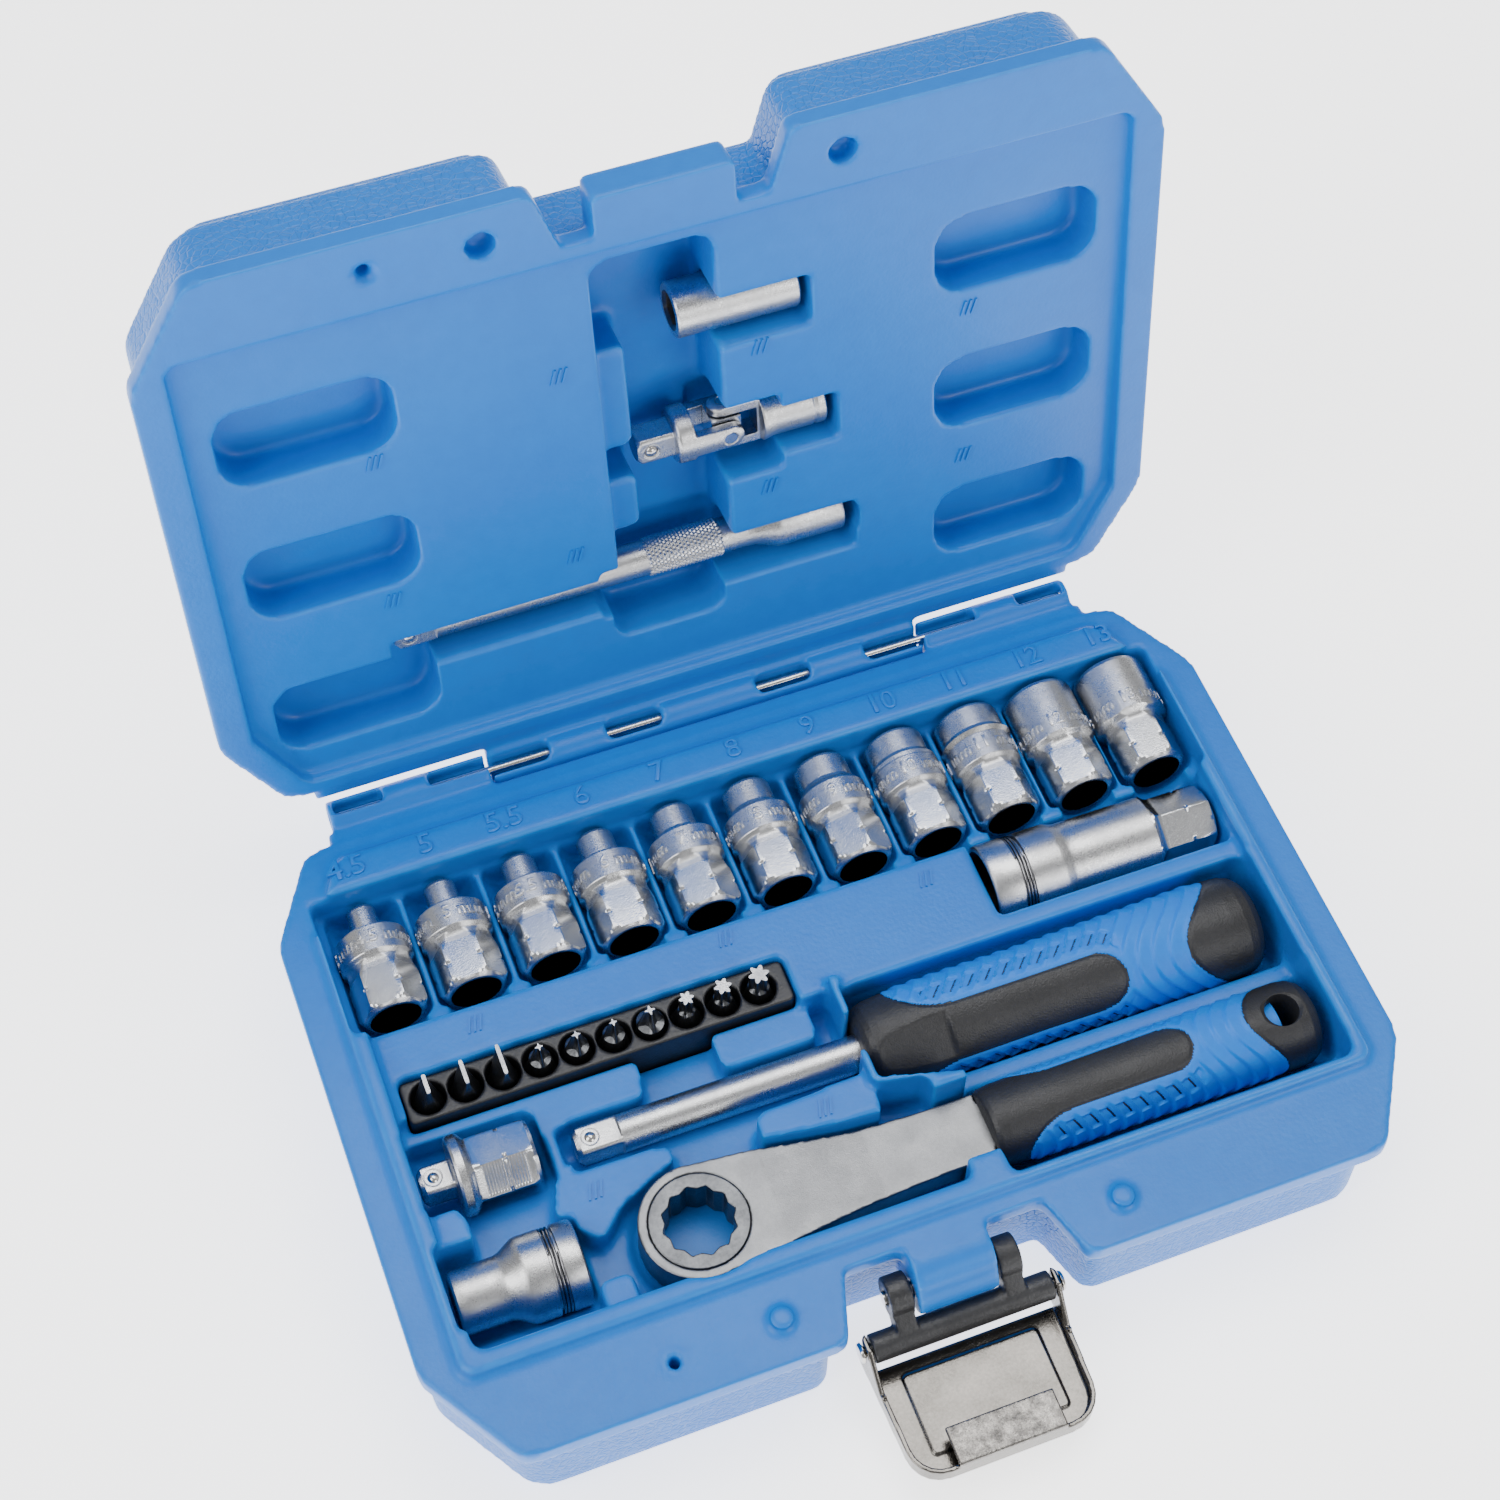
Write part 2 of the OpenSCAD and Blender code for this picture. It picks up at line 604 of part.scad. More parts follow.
// Square drive that the ratchet ring turns through its hex
module square_adapter() {
    color(steel) translate([0, square_y, adapter_z]) difference() {
        union() {
            square_drive(-93, -85.4, -90);
            turned_x([[-85.8, 4.6], [-85.8, 8], [-85.2, 8.5], [-83.4, 8.5], [-82.4, 7.6], [-82, 6.4]]);
            intersection() {
                hex_x(-82.4, -69.2, hex_af);
                turned_x([[-82.4, 8], [-70, 8], [-69.2, 7]]);
            }
        }
        cylinder_x(-79, -68, 4.6);
        corner_nicks(-75.6);
    }
}

module square_adapter_ball() {
    color(steel) translate([0, square_y, adapter_z]) drive_ball(-90);
}

// Stepped round adapter: a square-drive socket at its small end and a hex socket at its large end
module round_adapter() {
    color(steel) translate([0, round_y, adapter_z - 1]) difference() {
        turned_x([[-93.8, 6.2], [-93.4, 6.6], [-83.4, 6.6], [-79.6, 8.8], [-74.2, 8.8], [-74.2, 8.1],
            [-72, 8.1], [-72, 8.8], [-68, 8.8], [-67.6, 8.4]]);
        translate([-95, -square / 2 - 0.05, -square / 2 - 0.05]) cube([10, square + 0.1, square + 0.1]);
        hex_x(-80, -67, hex_af + 0.15);
    }
}

module wire_ring(x, r) {
    translate([x, 0, 0]) rotate([0, 90, 0]) rotate_extrude() translate([r, 0]) circle(r = 0.42, $fn = 16);
}

module round_adapter_ring() {
    color(black) translate([0, round_y, adapter_z - 1]) wire_ring(-73.1, 8.62);
}

// Long adapter: an open hex socket, a step and a driving hex
module long_adapter() {
    color(steel) translate([0, long_y, long_z]) difference() {
        union() {
            turned_x([[40.6, 9], [41.2, 9.4], [47, 9.4], [47, 8.7], [49.4, 8.7], [49.4, 9.4], [57, 9.4],
                [59.4, 8.6], [80.6, 8.6], [81.4, 7.6], [82, 6.3]]);
            intersection() {
                hex_x(81.2, 93.2, hex_af);
                turned_x([[81.2, 8], [92.4, 8], [93.2, 7]]);
            }
        }
        hex_x(40, 57, hex_af + 0.15);
        cylinder_x(56, 96, pass_r);
        corner_nicks(87.6);
    }
}

module long_adapter_ring() {
    color(black) translate([0, long_y, long_z]) wire_ring(48.2, 9.22);
}

// ---- spinner handle ---------------------------------------------------------------------------

module spinner_shaft() {
    color(steel) translate([0, spinner_y, spinner_z]) {
        square_drive(-61, -52, -57.6);
        turned_x([[-52.2, 3.6], [-51.8, 4], [30, 4]]);
    }
}

module spinner_ball() {
    color(steel) translate([0, spinner_y, spinner_z]) drive_ball(-57.6);
}

module spinner_core() {
    color(black) translate([0, spinner_y, spinner_z]) difference() {
        turned_x([[1, 7.4], [1.8, 9], [4, 10], [12, 10.4], [12, 9.2], [74, 9.6], [74, 11.3], [86, 11.2],
            [90.2, 9.6], [91.2, 7]]);
        cylinder_x(0, 30.2, 4 + fit_gap);
    }
}

module spinner_grip() {
    color(blue) translate([0, spinner_y, spinner_z]) difference() {
        turned_x([[12.1, 10.4], [16, 10.9], [40, 10.7], [68, 11.3], [73.9, 11.3]]);
        turned_x([[12, 9.26], [74, 9.66]]);
    }
}

// ---- ring wrench --------------------------------------------------------------------------------

ring_r = head_r - 2.1;   // bore of the head
arm_t = 6;               // thickness of the arm
arm_gap = 1;             // room beside the arm in its seat
// Half widths of the arm along X, from the head to the grip
arm_edge = [[head_x + 1, head_r - 0.1], [-31, 11.1], [-24, 10.1], [-17, 9.1], [-9, 8.1], [0, 7.5], [8, 7.2],
    [18.3, 7.3]];

module wrench_body() {
    color(steel) translate([0, wrench_y, wrench_z]) difference() {
        union() {
            // plan of the head and arm, thinned from the head's height to the arm's
            intersection() {
                translate([0, 0, -head_t]) linear_extrude(2 * head_t) union() {
                    translate([head_x, 0]) circle(r = head_r);
                    polygon([for (p = arm_edge) p, for (k = [len(arm_edge) - 1:-1:0])
                        [arm_edge[k].x, -arm_edge[k].y]]);
                }
                translate([0, 20, 0]) rotate([90, 0, 0]) linear_extrude(40) polygon([[-60, head_t / 2],
                    [-28, head_t / 2], [-6, arm_t / 2], [20, arm_t / 2], [20, -arm_t / 2], [-6, -arm_t / 2],
                    [-28, -head_t / 2], [-60, -head_t / 2]]);
            }
            // tang inside the grip
            translate([10, -5.2, -arm_t / 2]) cube([26, 10.4, arm_t]);
        }
        translate([head_x, 0, -head_t]) cylinder(h = 2 * head_t, r = ring_r + fit_gap);
        // chamber of the pawl and its spring, behind the ring
        translate([head_x + ring_r - 1, -2.2, -2.2]) cube([8.6, 4.4, 4.4]);
    }
}

// Toothed ring with a flange above and below its teeth and a twelve-point opening; a gap faces the pawl
module ratchet_ring() {
    hub = ring_r - 1;
    color(black) translate([head_x, wrench_y, wrench_z]) difference() {
        union() {
            for (z = [-head_t / 2 - 0.15, head_t / 2 - 1.65]) translate([0, 0, z])
                cylinder(h = 1.8, r = ring_r);
            translate([0, 0, -head_t / 2]) linear_extrude(head_t) polygon([for (k = [0:teeth - 1])
                each [hub * [cos(360 / teeth * k), sin(360 / teeth * k)],
                    (hub + 0.7) * [cos(360 / teeth * (k + 0.35)), sin(360 / teeth * (k + 0.35))]]]);
        }
        for (a = [0, 30]) rotate([0, 0, a]) translate([0, 0, -head_t])
            cylinder(h = 2 * head_t, r = (hex_af + 0.15) / sqrt(3), $fn = 6);
    }
}

// Sprung pawl, drawn back just clear of the teeth
module ratchet_pawl() {
    color(steel) translate([head_x + ring_r, wrench_y, wrench_z - 2])
        linear_extrude(4) polygon([[-0.1, -0.3], [0.5, -2], [3, -2], [3, 2], [0.5, 2], [-0.1, 0.2]]);
}

module pawl_spring() {
    color(steel) translate([head_x + ring_r, wrench_y, wrench_z]) for (k = [0:3])
        translate([4 + k, 0, 0]) rotate([0, 90, 0]) rotate_extrude()
            translate([1.2, 0]) circle(r = 0.3, $fn = 16);
}

module wrench_core() {
    color(black) translate([0, wrench_y, wrench_z]) difference() {
        turned_x([[18.4, 7.4], [19, 8.2], [24, 8.8], [30, 8.8], [30, 7.6], [79, 8.2], [79, 9.4], [88.6, 9.4],
            [91.6, 8], [92.2, 6]]);
        translate([10, -5.2 - fit_gap, -arm_t / 2 - fit_gap]) cube([26 + fit_gap, 10.4 + 2 * fit_gap,
            arm_t + 2 * fit_gap]);
        translate([84.6, 0, -12]) cylinder(h = 24, r = 3.5);
    }
}

module wrench_grip() {
    color(blue) translate([0, wrench_y, wrench_z]) difference() {
        turned_x([[30.1, 8.8], [36, 9.3], [60, 9.2], [78.9, 9.4]]);
        turned_x([[30, 7.66], [79, 8.26]]);
    }
}

// ---- tools held in the lid ----------------------------------------------------------------------

module bit_holder() {
    color(steel) lid_tool(holder_y) difference() {
        turned_x([[4, 5.6], [4.4, 5.9], [29.8, 5.9], [30.2, 5.6]]);
        hex_x(3, 17, bit_af + 0.15);
        translate([21, -square / 2 - 0.05, -square / 2 - 0.05]) cube([10, square + 0.1, square + 0.1]);
        cylinder_x(16, 19, 2.5);
    }
}

module bit_holder_magnet() {
    color(black) lid_tool(holder_y) cylinder_x(17.2, 18.9, 2.5 - fit_gap);
}

swing_r = 6.2;           // the forks' ears stay inside this radius about the crossing
fork_gap = swing_r + 0.7;
fork_root = swing_r + 1.2;
ear_half = 2.6;          // half width of an ear, narrow enough for both axes to turn fully together
ear_end = 3.2;           // the ears reach this far past the crossing

// Ears of a fork that opens towards +X and carries its pins along Z
module ears() {
    intersection() {
        turned_x([[-fork_root - eps, swing_r], [0, swing_r], [2, 5.9], [ear_end, 5.2]]);
        union() {
            translate([-fork_root - eps, -ear_half, -8])
                cube([fork_root + eps + ear_end - ear_half, 2 * ear_half, 16]);
            translate([ear_end - ear_half, 0, -8]) cylinder(h = 16, r = ear_half);
        }
    }
}

// Fork with its ears above and below the cross block; the square drive runs along -X
module joint_drive_yoke() {
    color(steel) lid_tool(joint_y) translate([joint_x, 0, 0]) difference() {
        union() {
            square_drive(-19.6, -11, -16.6);
            turned_x([[-11.4, 4.4], [-11.4, 5.6], [-10.8, swing_r], [-fork_root, swing_r]]);
            ears();
        }
        // gap between the ears for the cross block
        translate([-fork_gap, -8, -3.5]) cube([fork_gap + 6, 16, 7]);
        translate([0, 0, -9]) cylinder(h = 18, r = 1.4 + fit_gap);
    }
}

module joint_ball() {
    color(steel) lid_tool(joint_y) translate([joint_x, 0, 0]) drive_ball(-16.6);
}

module joint_cross() {
    color(steel) lid_tool(joint_y) translate([joint_x, 0, 0]) difference() {
        translate([-3.2, -3.2, -3.2]) cube([6.4, 6.4, 6.4]);
        translate([0, 0, -9]) cylinder(h = 18, r = 1.4);
        cylinder_y(-9, 9, 1.1);
    }
}

// Four pins pressed into the cross block: the thick pair turns in the drive fork, the thin pair in the
// socket fork
module joint_pins() {
    color(steel) lid_tool(joint_y) translate([joint_x, 0, 0]) {
        for (side = [0, 1]) mirror([0, 0, side]) translate([0, 0, 1.3])
            cylinder(h = 4.5, r = 1.4 - press_gap);
        for (side = [0, 1]) mirror([0, side, 0]) cylinder_y(1.5, 5.8, 1.1 - press_gap);
    }
}

// Fork with its ears at either side of the cross block; the square-drive socket runs along +X
module joint_socket_yoke() {
    color(steel) lid_tool(joint_y) translate([joint_x, 0, 0]) difference() {
        union() {
            turned_x([[fork_root, swing_r], [8, swing_r], [10, 5.8], [18.6, 5.8], [18.6, 5.5], [19.4, 5.5],
                [19.4, 5.8], [21.2, 5.8], [21.6, 5.4]]);
            rotate([90, 0, 0]) mirror([1, 0, 0]) ears();
        }
        translate([-6, -3.5, -8]) cube([fork_gap + 6, 7, 16]);
        cylinder_y(-9, 9, 1.1 + fit_gap);
        translate([12, -square / 2 - 0.05, -square / 2 - 0.05]) cube([10, square + 0.1, square + 0.1]);
    }
}

module extension_bar() {
    color(steel) lid_tool(extension_y) difference() {
        union() {
            square_drive(-62.4, -54, -59.2);
            turned_x([[-54.2, 3.4], [-53.6, 3.9], [-8.4, 3.9], [-8.2, 4.3], [8.2, 4.3], [8.4, 3.9], [20, 3.9],
                [23.6, 5.8], [38, 5.8], [38.4, 5.4]]);
        }
        translate([28, -square / 2 - 0.05, -square / 2 - 0.05]) cube([12, square + 0.1, square + 0.1]);
    }
}

module extension_ball() {
    color(steel) lid_tool(extension_y) drive_ball(-59.2);
}

// ---- drawing ----------------------------------------------------------------------------------

base_shell();
lid_shell();
hinge_rod();
latch_pin();
latch_link();
latch_rivets();
latch_plate();
for (i = [0:len(sizes) - 1]) socket(i);
bit_strip();
for (i = [0:bit_count - 1]) bit(i);
square_adapter();
square_adapter_ball();
round_adapter();
round_adapter_ring();
long_adapter();
long_adapter_ring();
spinner_shaft();
spinner_ball();
spinner_core();
spinner_grip();
wrench_body();
wrench_core();
wrench_grip();
ratchet_ring();
ratchet_pawl();
pawl_spring();
bit_holder();
bit_holder_magnet();
joint_socket_yoke();
joint_cross();
joint_pins();
joint_drive_yoke();
joint_ball();
extension_bar();
extension_ball();
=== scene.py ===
# %% [markdown]
# # A socket wrench set in its hinged case
# The case is blow moulded: a hot tube of plastic is blown into a mould, so every edge is soft and
# every wall is a little leathery. The tools in it are turned or forged steel with a satin chrome
# plate. This notebook dresses a finished, exact model of the set with those soft edges, ribs,
# knurls and finishes. Lengths are written in millimetres and turned to metres when a mesh is made.

# %% Load the frame
import json
import math

import bmesh
import bpy
import numpy as np
from mathutils import Matrix, Vector


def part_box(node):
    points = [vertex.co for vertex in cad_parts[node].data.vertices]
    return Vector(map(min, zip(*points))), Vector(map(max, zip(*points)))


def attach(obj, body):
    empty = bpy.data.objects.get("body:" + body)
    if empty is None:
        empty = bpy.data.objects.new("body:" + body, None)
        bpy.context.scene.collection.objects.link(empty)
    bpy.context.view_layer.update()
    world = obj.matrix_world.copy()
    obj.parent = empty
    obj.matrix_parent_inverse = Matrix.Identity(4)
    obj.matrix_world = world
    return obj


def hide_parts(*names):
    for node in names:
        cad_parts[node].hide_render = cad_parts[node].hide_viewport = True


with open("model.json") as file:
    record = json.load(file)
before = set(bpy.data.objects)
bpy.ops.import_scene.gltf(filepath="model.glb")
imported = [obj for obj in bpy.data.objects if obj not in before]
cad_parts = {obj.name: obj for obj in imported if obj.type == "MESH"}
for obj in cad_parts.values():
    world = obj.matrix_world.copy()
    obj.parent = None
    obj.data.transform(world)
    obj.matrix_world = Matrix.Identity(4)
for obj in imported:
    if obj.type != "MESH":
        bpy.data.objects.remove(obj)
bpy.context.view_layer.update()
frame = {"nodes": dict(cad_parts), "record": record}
MM = 0.001

# %% [markdown]
# ## Where the case stands, and where its lid turns
# The lid is hinged behind the base and leans back. Anything in the lid is easier to describe with
# the lid shut, so one matrix carries shut-lid coordinates to the open lid.

# %% Lid matrix
lid_joint = [j for j in frame["record"]["behaviour"]["joints"] if j["name"] == "lid_hinge"][0]
HINGE = Vector(lid_joint["pos_m"])
LID_OPEN = math.radians(99)
OPEN_LID = Matrix.Translation(HINGE) @ Matrix.Rotation(-LID_OPEN, 4, "X") @ Matrix.Translation(-HINGE)
STAY = Matrix.Identity(4)
BASE_H = 30.0  # the base's rim, where the lid meets it
DECK_Z = 32.0  # the step behind the sockets, which carries the size numbers
MIDDLE_Z = 28.0  # the deck between the tools
LEDGE_Z = 24.0  # the lower ledges round the adapters
LID_AXIS = 11.0  # how far the lid's tools lie above the rim with the lid shut
LID_SHIFT = -1.8  # how far they lie to the left of where they were drawn


def size_of(node):
    """Lowest and highest corner of a node, in millimetres."""
    low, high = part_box(node)
    return Vector(low) / MM, Vector(high) / MM


def centre_of(node):
    low, high = size_of(node)
    return (low + high) / 2


def add_object(name, data, materials=()):
    obj = bpy.data.objects.new(name, data)
    bpy.context.collection.objects.link(obj)
    for material in materials:
        obj.data.materials.append(material)
    return obj


def evaluated_mesh(obj):
    """The mesh that an object's modifiers or its text make."""
    return bpy.data.meshes.new_from_object(obj.evaluated_get(bpy.context.evaluated_depsgraph_get()))


# %% [markdown]
# ## Camera, floor and light
# A product picture of shiny tools needs large soft lights: metal shows what it mirrors, so a few
# wide panels with darker gaps between them give the bands that read as satin chrome.

# %% Camera
camera_data = bpy.data.cameras.new("camera")
camera_data.sensor_width = 36
camera_data.lens = 71.578
camera_data.shift_x = -0.0306
camera_data.shift_y = -0.1003
camera_data.clip_start = 0.01
camera = add_object("camera", camera_data)
right = Vector((0.932315, -0.360760, 0.025300))
up = Vector((0.279591, 0.763386, 0.582298))
back = right.cross(up)
stand = Matrix.Translation((-0.12669, -0.26488, 0.57807))
camera.matrix_world = stand @ Matrix((right, up, back)).transposed().to_4x4()
bpy.context.scene.camera = camera

# %% Floor
floor_mesh = bpy.data.meshes.new("floor")
reach = 3.0
corners = [(-reach, -reach, 0), (reach, -reach, 0), (reach, reach, 0), (-reach, reach, 0)]
floor_mesh.from_pydata(corners, [], [(0, 1, 2, 3)])
floor = add_object("floor", floor_mesh)

# %% Lights
world = bpy.data.worlds.new("studio")
bpy.context.scene.world = world
world.use_nodes = True
world.node_tree.nodes["Background"].inputs["Color"].default_value = (0.97, 0.98, 1.0, 1)
world.node_tree.nodes["Background"].inputs["Strength"].default_value = 0.48


def soft_light(name, place, target, width, height, power):
    light = bpy.data.lights.new(name, "AREA")
    light.shape = "RECTANGLE"
    light.size = width
    light.size_y = height
    light.energy = power
    lamp = add_object(name, light)
    aim = (Vector(target) - Vector(place)).to_track_quat("-Z", "Y").to_matrix().to_4x4()
    lamp.matrix_world = Matrix.Translation(place) @ aim


soft_light("window", (-0.75, -0.15, 0.75), (0, 0.02, 0.03), 0.55, 0.9, 7.0)
soft_light("overhead", (0.15, 0.25, 1.0), (0, 0.02, 0.03), 0.9, 0.5, 7.5)
soft_light("front", (0.5, -0.95, 0.55), (0, 0.02, 0.05), 0.5, 0.5, 4.2)

# %% [markdown]
# ## Shared surface effects
# Several finishes need the same helpers: a fine unevenness that changes the gloss from spot to
# spot, and the cell pattern of grained plastic. Each is a node group, built once and given its
# own numbers in every material that uses it.


# %% Node helpers
def add_node(tree, kind, setting=None, **values):
    """A new node. `setting` is a property and its value; the others are values for its inputs."""
    node = tree.nodes.new(kind)
    if setting:
        setattr(node, *setting)
    for label, value in values.items():
        node.inputs[label.replace("_", " ")].default_value = value
    return node


def wire(tree, *links):
    """Links nodes; each link is a node and its output, then a node and its input."""
    for source, output, target, entry in links:
        tree.links.new(source.outputs[output], target.inputs[entry])


def new_group(name, inputs, outputs):
    group = bpy.data.node_groups.new(name, "ShaderNodeTree")
    for label, value in inputs:
        socket = group.interface.new_socket(label, in_out="INPUT", socket_type="NodeSocketFloat")
        socket.default_value = value
    for label, kind in outputs:
        group.interface.new_socket(label, in_out="OUTPUT", socket_type=kind)
    return group, group.nodes.new("NodeGroupInput"), group.nodes.new("NodeGroupOutput")


def unevenness_group():
    """A value that drifts between Low and High, from large patches and fine grain together."""
    group, inside, outside = new_group(
        "unevenness", [("Patch scale", 60), ("Grain scale", 1500), ("Low", 0.3), ("High", 0.4)],
        [("Value", "NodeSocketFloat")])
    place = add_node(group, "ShaderNodeTexCoord")
    patch = add_node(group, "ShaderNodeTexNoise", Detail=3)
    grain = add_node(group, "ShaderNodeTexNoise", Detail=2)
    mix = add_node(group, "ShaderNodeMath", ("operation", "ADD"))
    spread = add_node(group, "ShaderNodeMapRange", From_Min=0.7, From_Max=1.3)
    wire(group, (place, "Object", patch, "Vector"), (place, "Object", grain, "Vector"),
         (inside, "Patch scale", patch, "Scale"), (inside, "Grain scale", grain, "Scale"),
         (patch, "Fac", mix, 0), (grain, "Fac", mix, 1), (mix, 0, spread, "Value"),
         (inside, "Low", spread, "To Min"), (inside, "High", spread, "To Max"),
         (spread, "Result", outside, "Value"))
    return group


def grained_wall_group():
    """Height of leather-like cells, as the outer walls of the mould give."""
    group, inside, outside = new_group(
        "grained_wall", [("Cell scale", 700), ("Strength", 1.0)], [("Height", "NodeSocketFloat")])
    place = add_node(group, "ShaderNodeTexCoord")
    cells = add_node(group, "ShaderNodeTexVoronoi", ("feature", "DISTANCE_TO_EDGE"), Randomness=0.85)
    step = add_node(group, "ShaderNodeMapRange", From_Max=0.16)
    times = add_node(group, "ShaderNodeMath", ("operation", "MULTIPLY"))
    wire(group, (place, "Object", cells, "Vector"), (inside, "Cell scale", cells, "Scale"),
         (cells, "Distance", step, "Value"), (step, "Result", times, 0), (inside, "Strength", times, 1),
         (times, 0, outside, "Height"))
    return group


UNEVEN = unevenness_group()
GRAINED = grained_wall_group()
print("shared effects:", UNEVEN.name, GRAINED.name)


# %% Material helpers
def plain_material(name, colour, metallic=0.0, roughness=0.4, coat=0.0):
    material = bpy.data.materials.new(name)
    material.use_nodes = True
    bsdf = material.node_tree.nodes["Principled BSDF"]
    bsdf.inputs["Base Color"].default_value = (*colour, 1)
    bsdf.inputs["Metallic"].default_value = metallic
    bsdf.inputs["Roughness"].default_value = roughness
    bsdf.inputs["Coat Weight"].default_value = coat
    return material, material.node_tree, bsdf


def add_group(tree, group, **values):
    return add_node(tree, "ShaderNodeGroup", ("node_tree", group), **values)


def uneven_gloss(tree, bsdf, patch, grain, low, high):
    node = add_group(tree, UNEVEN, Patch_scale=patch, Grain_scale=grain, Low=low, High=high)
    wire(tree, (node, "Value", bsdf, "Roughness"))


def uneven_surface(tree, bsdf, patch, grain, strength, distance):
    node = add_group(tree, UNEVEN, Patch_scale=patch, Grain_scale=grain, Low=0.0, High=1.0)
    bump = add_node(tree, "ShaderNodeBump", Strength=strength, Distance=distance)
    wire(tree, (node, "Value", bump, "Height"), (bump, "Normal", bsdf, "Normal"))
    return bump


def two_colours(tree, bsdf, one, two, patch):
    """Base colour that drifts between two near shades."""
    node = add_group(tree, UNEVEN, Patch_scale=patch, Grain_scale=patch * 9, Low=0.0, High=1.0)
    mix = add_node(tree, "ShaderNodeMix", ("data_type", "RGBA"), A=(*one, 1), B=(*two, 1))
    wire(tree, (node, "Value", mix, "Factor"), (mix, "Result", bsdf, "Base Color"))
    return mix


# %% [markdown]
# ## The blue plastic
# Blow-moulded polyethylene is coloured through, waxy and half glossy. Along every convex edge the
# blue is painted paler, a painted highlight mixed with some real rubbing and stress whitening, and
# the outer walls carry a leather grain that the inside doesn't have. Two painted-on vertex values,
# `edge` and `outside`, tell the material where those places are.


# %% Blue plastic
def blue_plastic():
    material, tree, bsdf = plain_material("blue_plastic", (0.0, 0.15, 0.56), roughness=0.36)
    bsdf.inputs["Specular IOR Level"].default_value = 0.3
    base = two_colours(tree, bsdf, (0.0, 0.145, 0.545), (0.0, 0.16, 0.585), 30)
    # The `edge` value mixes a paler blue in along convex edges: a painted highlight, partly also real
    # rubbing.
    edge = add_node(tree, "ShaderNodeAttribute", ("attribute_name", "edge"))
    edge_sheen_and_rub = add_node(tree, "ShaderNodeMix", ("data_type", "RGBA"), B=(0.005, 0.25, 0.72, 1))
    wire(tree, (edge, "Fac", edge_sheen_and_rub, "Factor"), (base, "Result", edge_sheen_and_rub, "A"), (edge_sheen_and_rub, "Result", bsdf, "Base Color"))
    uneven_gloss(tree, bsdf, 45, 1400, 0.30, 0.42)
    soft = uneven_surface(tree, bsdf, 90, 1100, 0.25, 0.00012)
    grain = add_group(tree, GRAINED, Cell_scale=620, Strength=1.0)
    outside = add_node(tree, "ShaderNodeAttribute", ("attribute_name", "outside"))
    only = add_node(tree, "ShaderNodeMath", ("operation", "MULTIPLY"))
    cells = add_node(tree, "ShaderNodeBump", Strength=0.48, Distance=0.00035)
    wire(tree, (grain, "Height", only, 0), (outside, "Fac", only, 1), (only, 0, cells, "Height"),
         (soft, "Normal", cells, "Normal"), (cells, "Normal", bsdf, "Normal"))
    return material


BLUE = blue_plastic()

# %% [markdown]
# ## Metal finishes
# The tools are tumbled before plating, which leaves fine pits under the chrome, so they shine in
# soft bands. Flats that are ground after turning are brighter. The rivets and spring balls are bare
# bright steel, the latch plate is duller, and the bits and the ratchet ring are blackened.


# %% Metals
def metal(name, light, dark, low, high, grain, bump, patch=160):
    material, tree, bsdf = plain_material(name, light, metallic=1.0)
    two_colours(tree, bsdf, light, dark, patch)
    uneven_gloss(tree, bsdf, patch, grain, low, high)
    uneven_surface(tree, bsdf, patch * 2, grain, bump, 0.00008)
    return material


SATIN = metal("satin_chrome", (0.60, 0.60, 0.60), (0.48, 0.48, 0.485), 0.22, 0.35, 5200, 0.35)
GROUND = metal("ground_flat", (0.66, 0.665, 0.67), (0.54, 0.55, 0.56), 0.16, 0.26, 3000, 0.12)
BRIGHT = metal("bright_steel", (0.66, 0.64, 0.61), (0.50, 0.48, 0.45), 0.10, 0.24, 2600, 0.16)
FORGED = metal("forged_satin", (0.225, 0.229, 0.235), (0.19, 0.194, 0.2), 0.28, 0.40, 5200, 0.3)
STAMPED = metal("stamped_steel", (0.185, 0.173, 0.158), (0.14, 0.132, 0.12), 0.14, 0.28, 2600, 0.16)
ROUGH_STEEL = metal("spangled_steel", (0.27, 0.256, 0.238), (0.10, 0.095, 0.09), 0.22, 0.48, 2300, 0.5,
                    420)
BLACKENED = metal("blackened_steel", (0.15, 0.155, 0.162), (0.095, 0.098, 0.104), 0.26, 0.4, 4200, 0.2)
WORN_TIP = metal("worn_tip", (0.50, 0.50, 0.50), (0.30, 0.30, 0.31), 0.24, 0.4, 3600, 0.4)
SPRING_WIRE = metal("spring_wire", (0.30, 0.30, 0.31), (0.20, 0.20, 0.21), 0.16, 0.28, 3600, 0.1)
BORE = metal("dark_bore", (0.17, 0.158, 0.145), (0.08, 0.075, 0.07), 0.35, 0.5, 2400, 0.3)


# %% Black plastic and blue rubber
def matt_black(name, colour, low, high, grain, strength):
    material, tree, bsdf = plain_material(name, colour)
    two_colours(tree, bsdf, colour, tuple(c * 1.6 for c in colour), 120)
    uneven_gloss(tree, bsdf, 90, grain, low, high)
    uneven_surface(tree, bsdf, 400, grain, strength, 0.00012)
    return material


HANDLE_BLACK = matt_black("handle_black", (0.012, 0.012, 0.013), 0.40, 0.52, 2600, 0.55)
STRIP_BLACK = matt_black("strip_black", (0.010, 0.010, 0.011), 0.34, 0.46, 1800, 0.25)
LINK_BLACK = matt_black("link_black", (0.014, 0.014, 0.015), 0.36, 0.55, 1500, 0.5)


def grip_rubber():
    material, tree, bsdf = plain_material("grip_rubber", (0.0, 0.18, 0.70))
    bsdf.inputs["Specular IOR Level"].default_value = 0.3
    two_colours(tree, bsdf, (0.0, 0.175, 0.68), (0.0, 0.195, 0.73), 70)
    uneven_gloss(tree, bsdf, 80, 2300, 0.42, 0.55)
    uneven_surface(tree, bsdf, 300, 2600, 0.3, 0.0001)
    return material


RUBBER = grip_rubber()


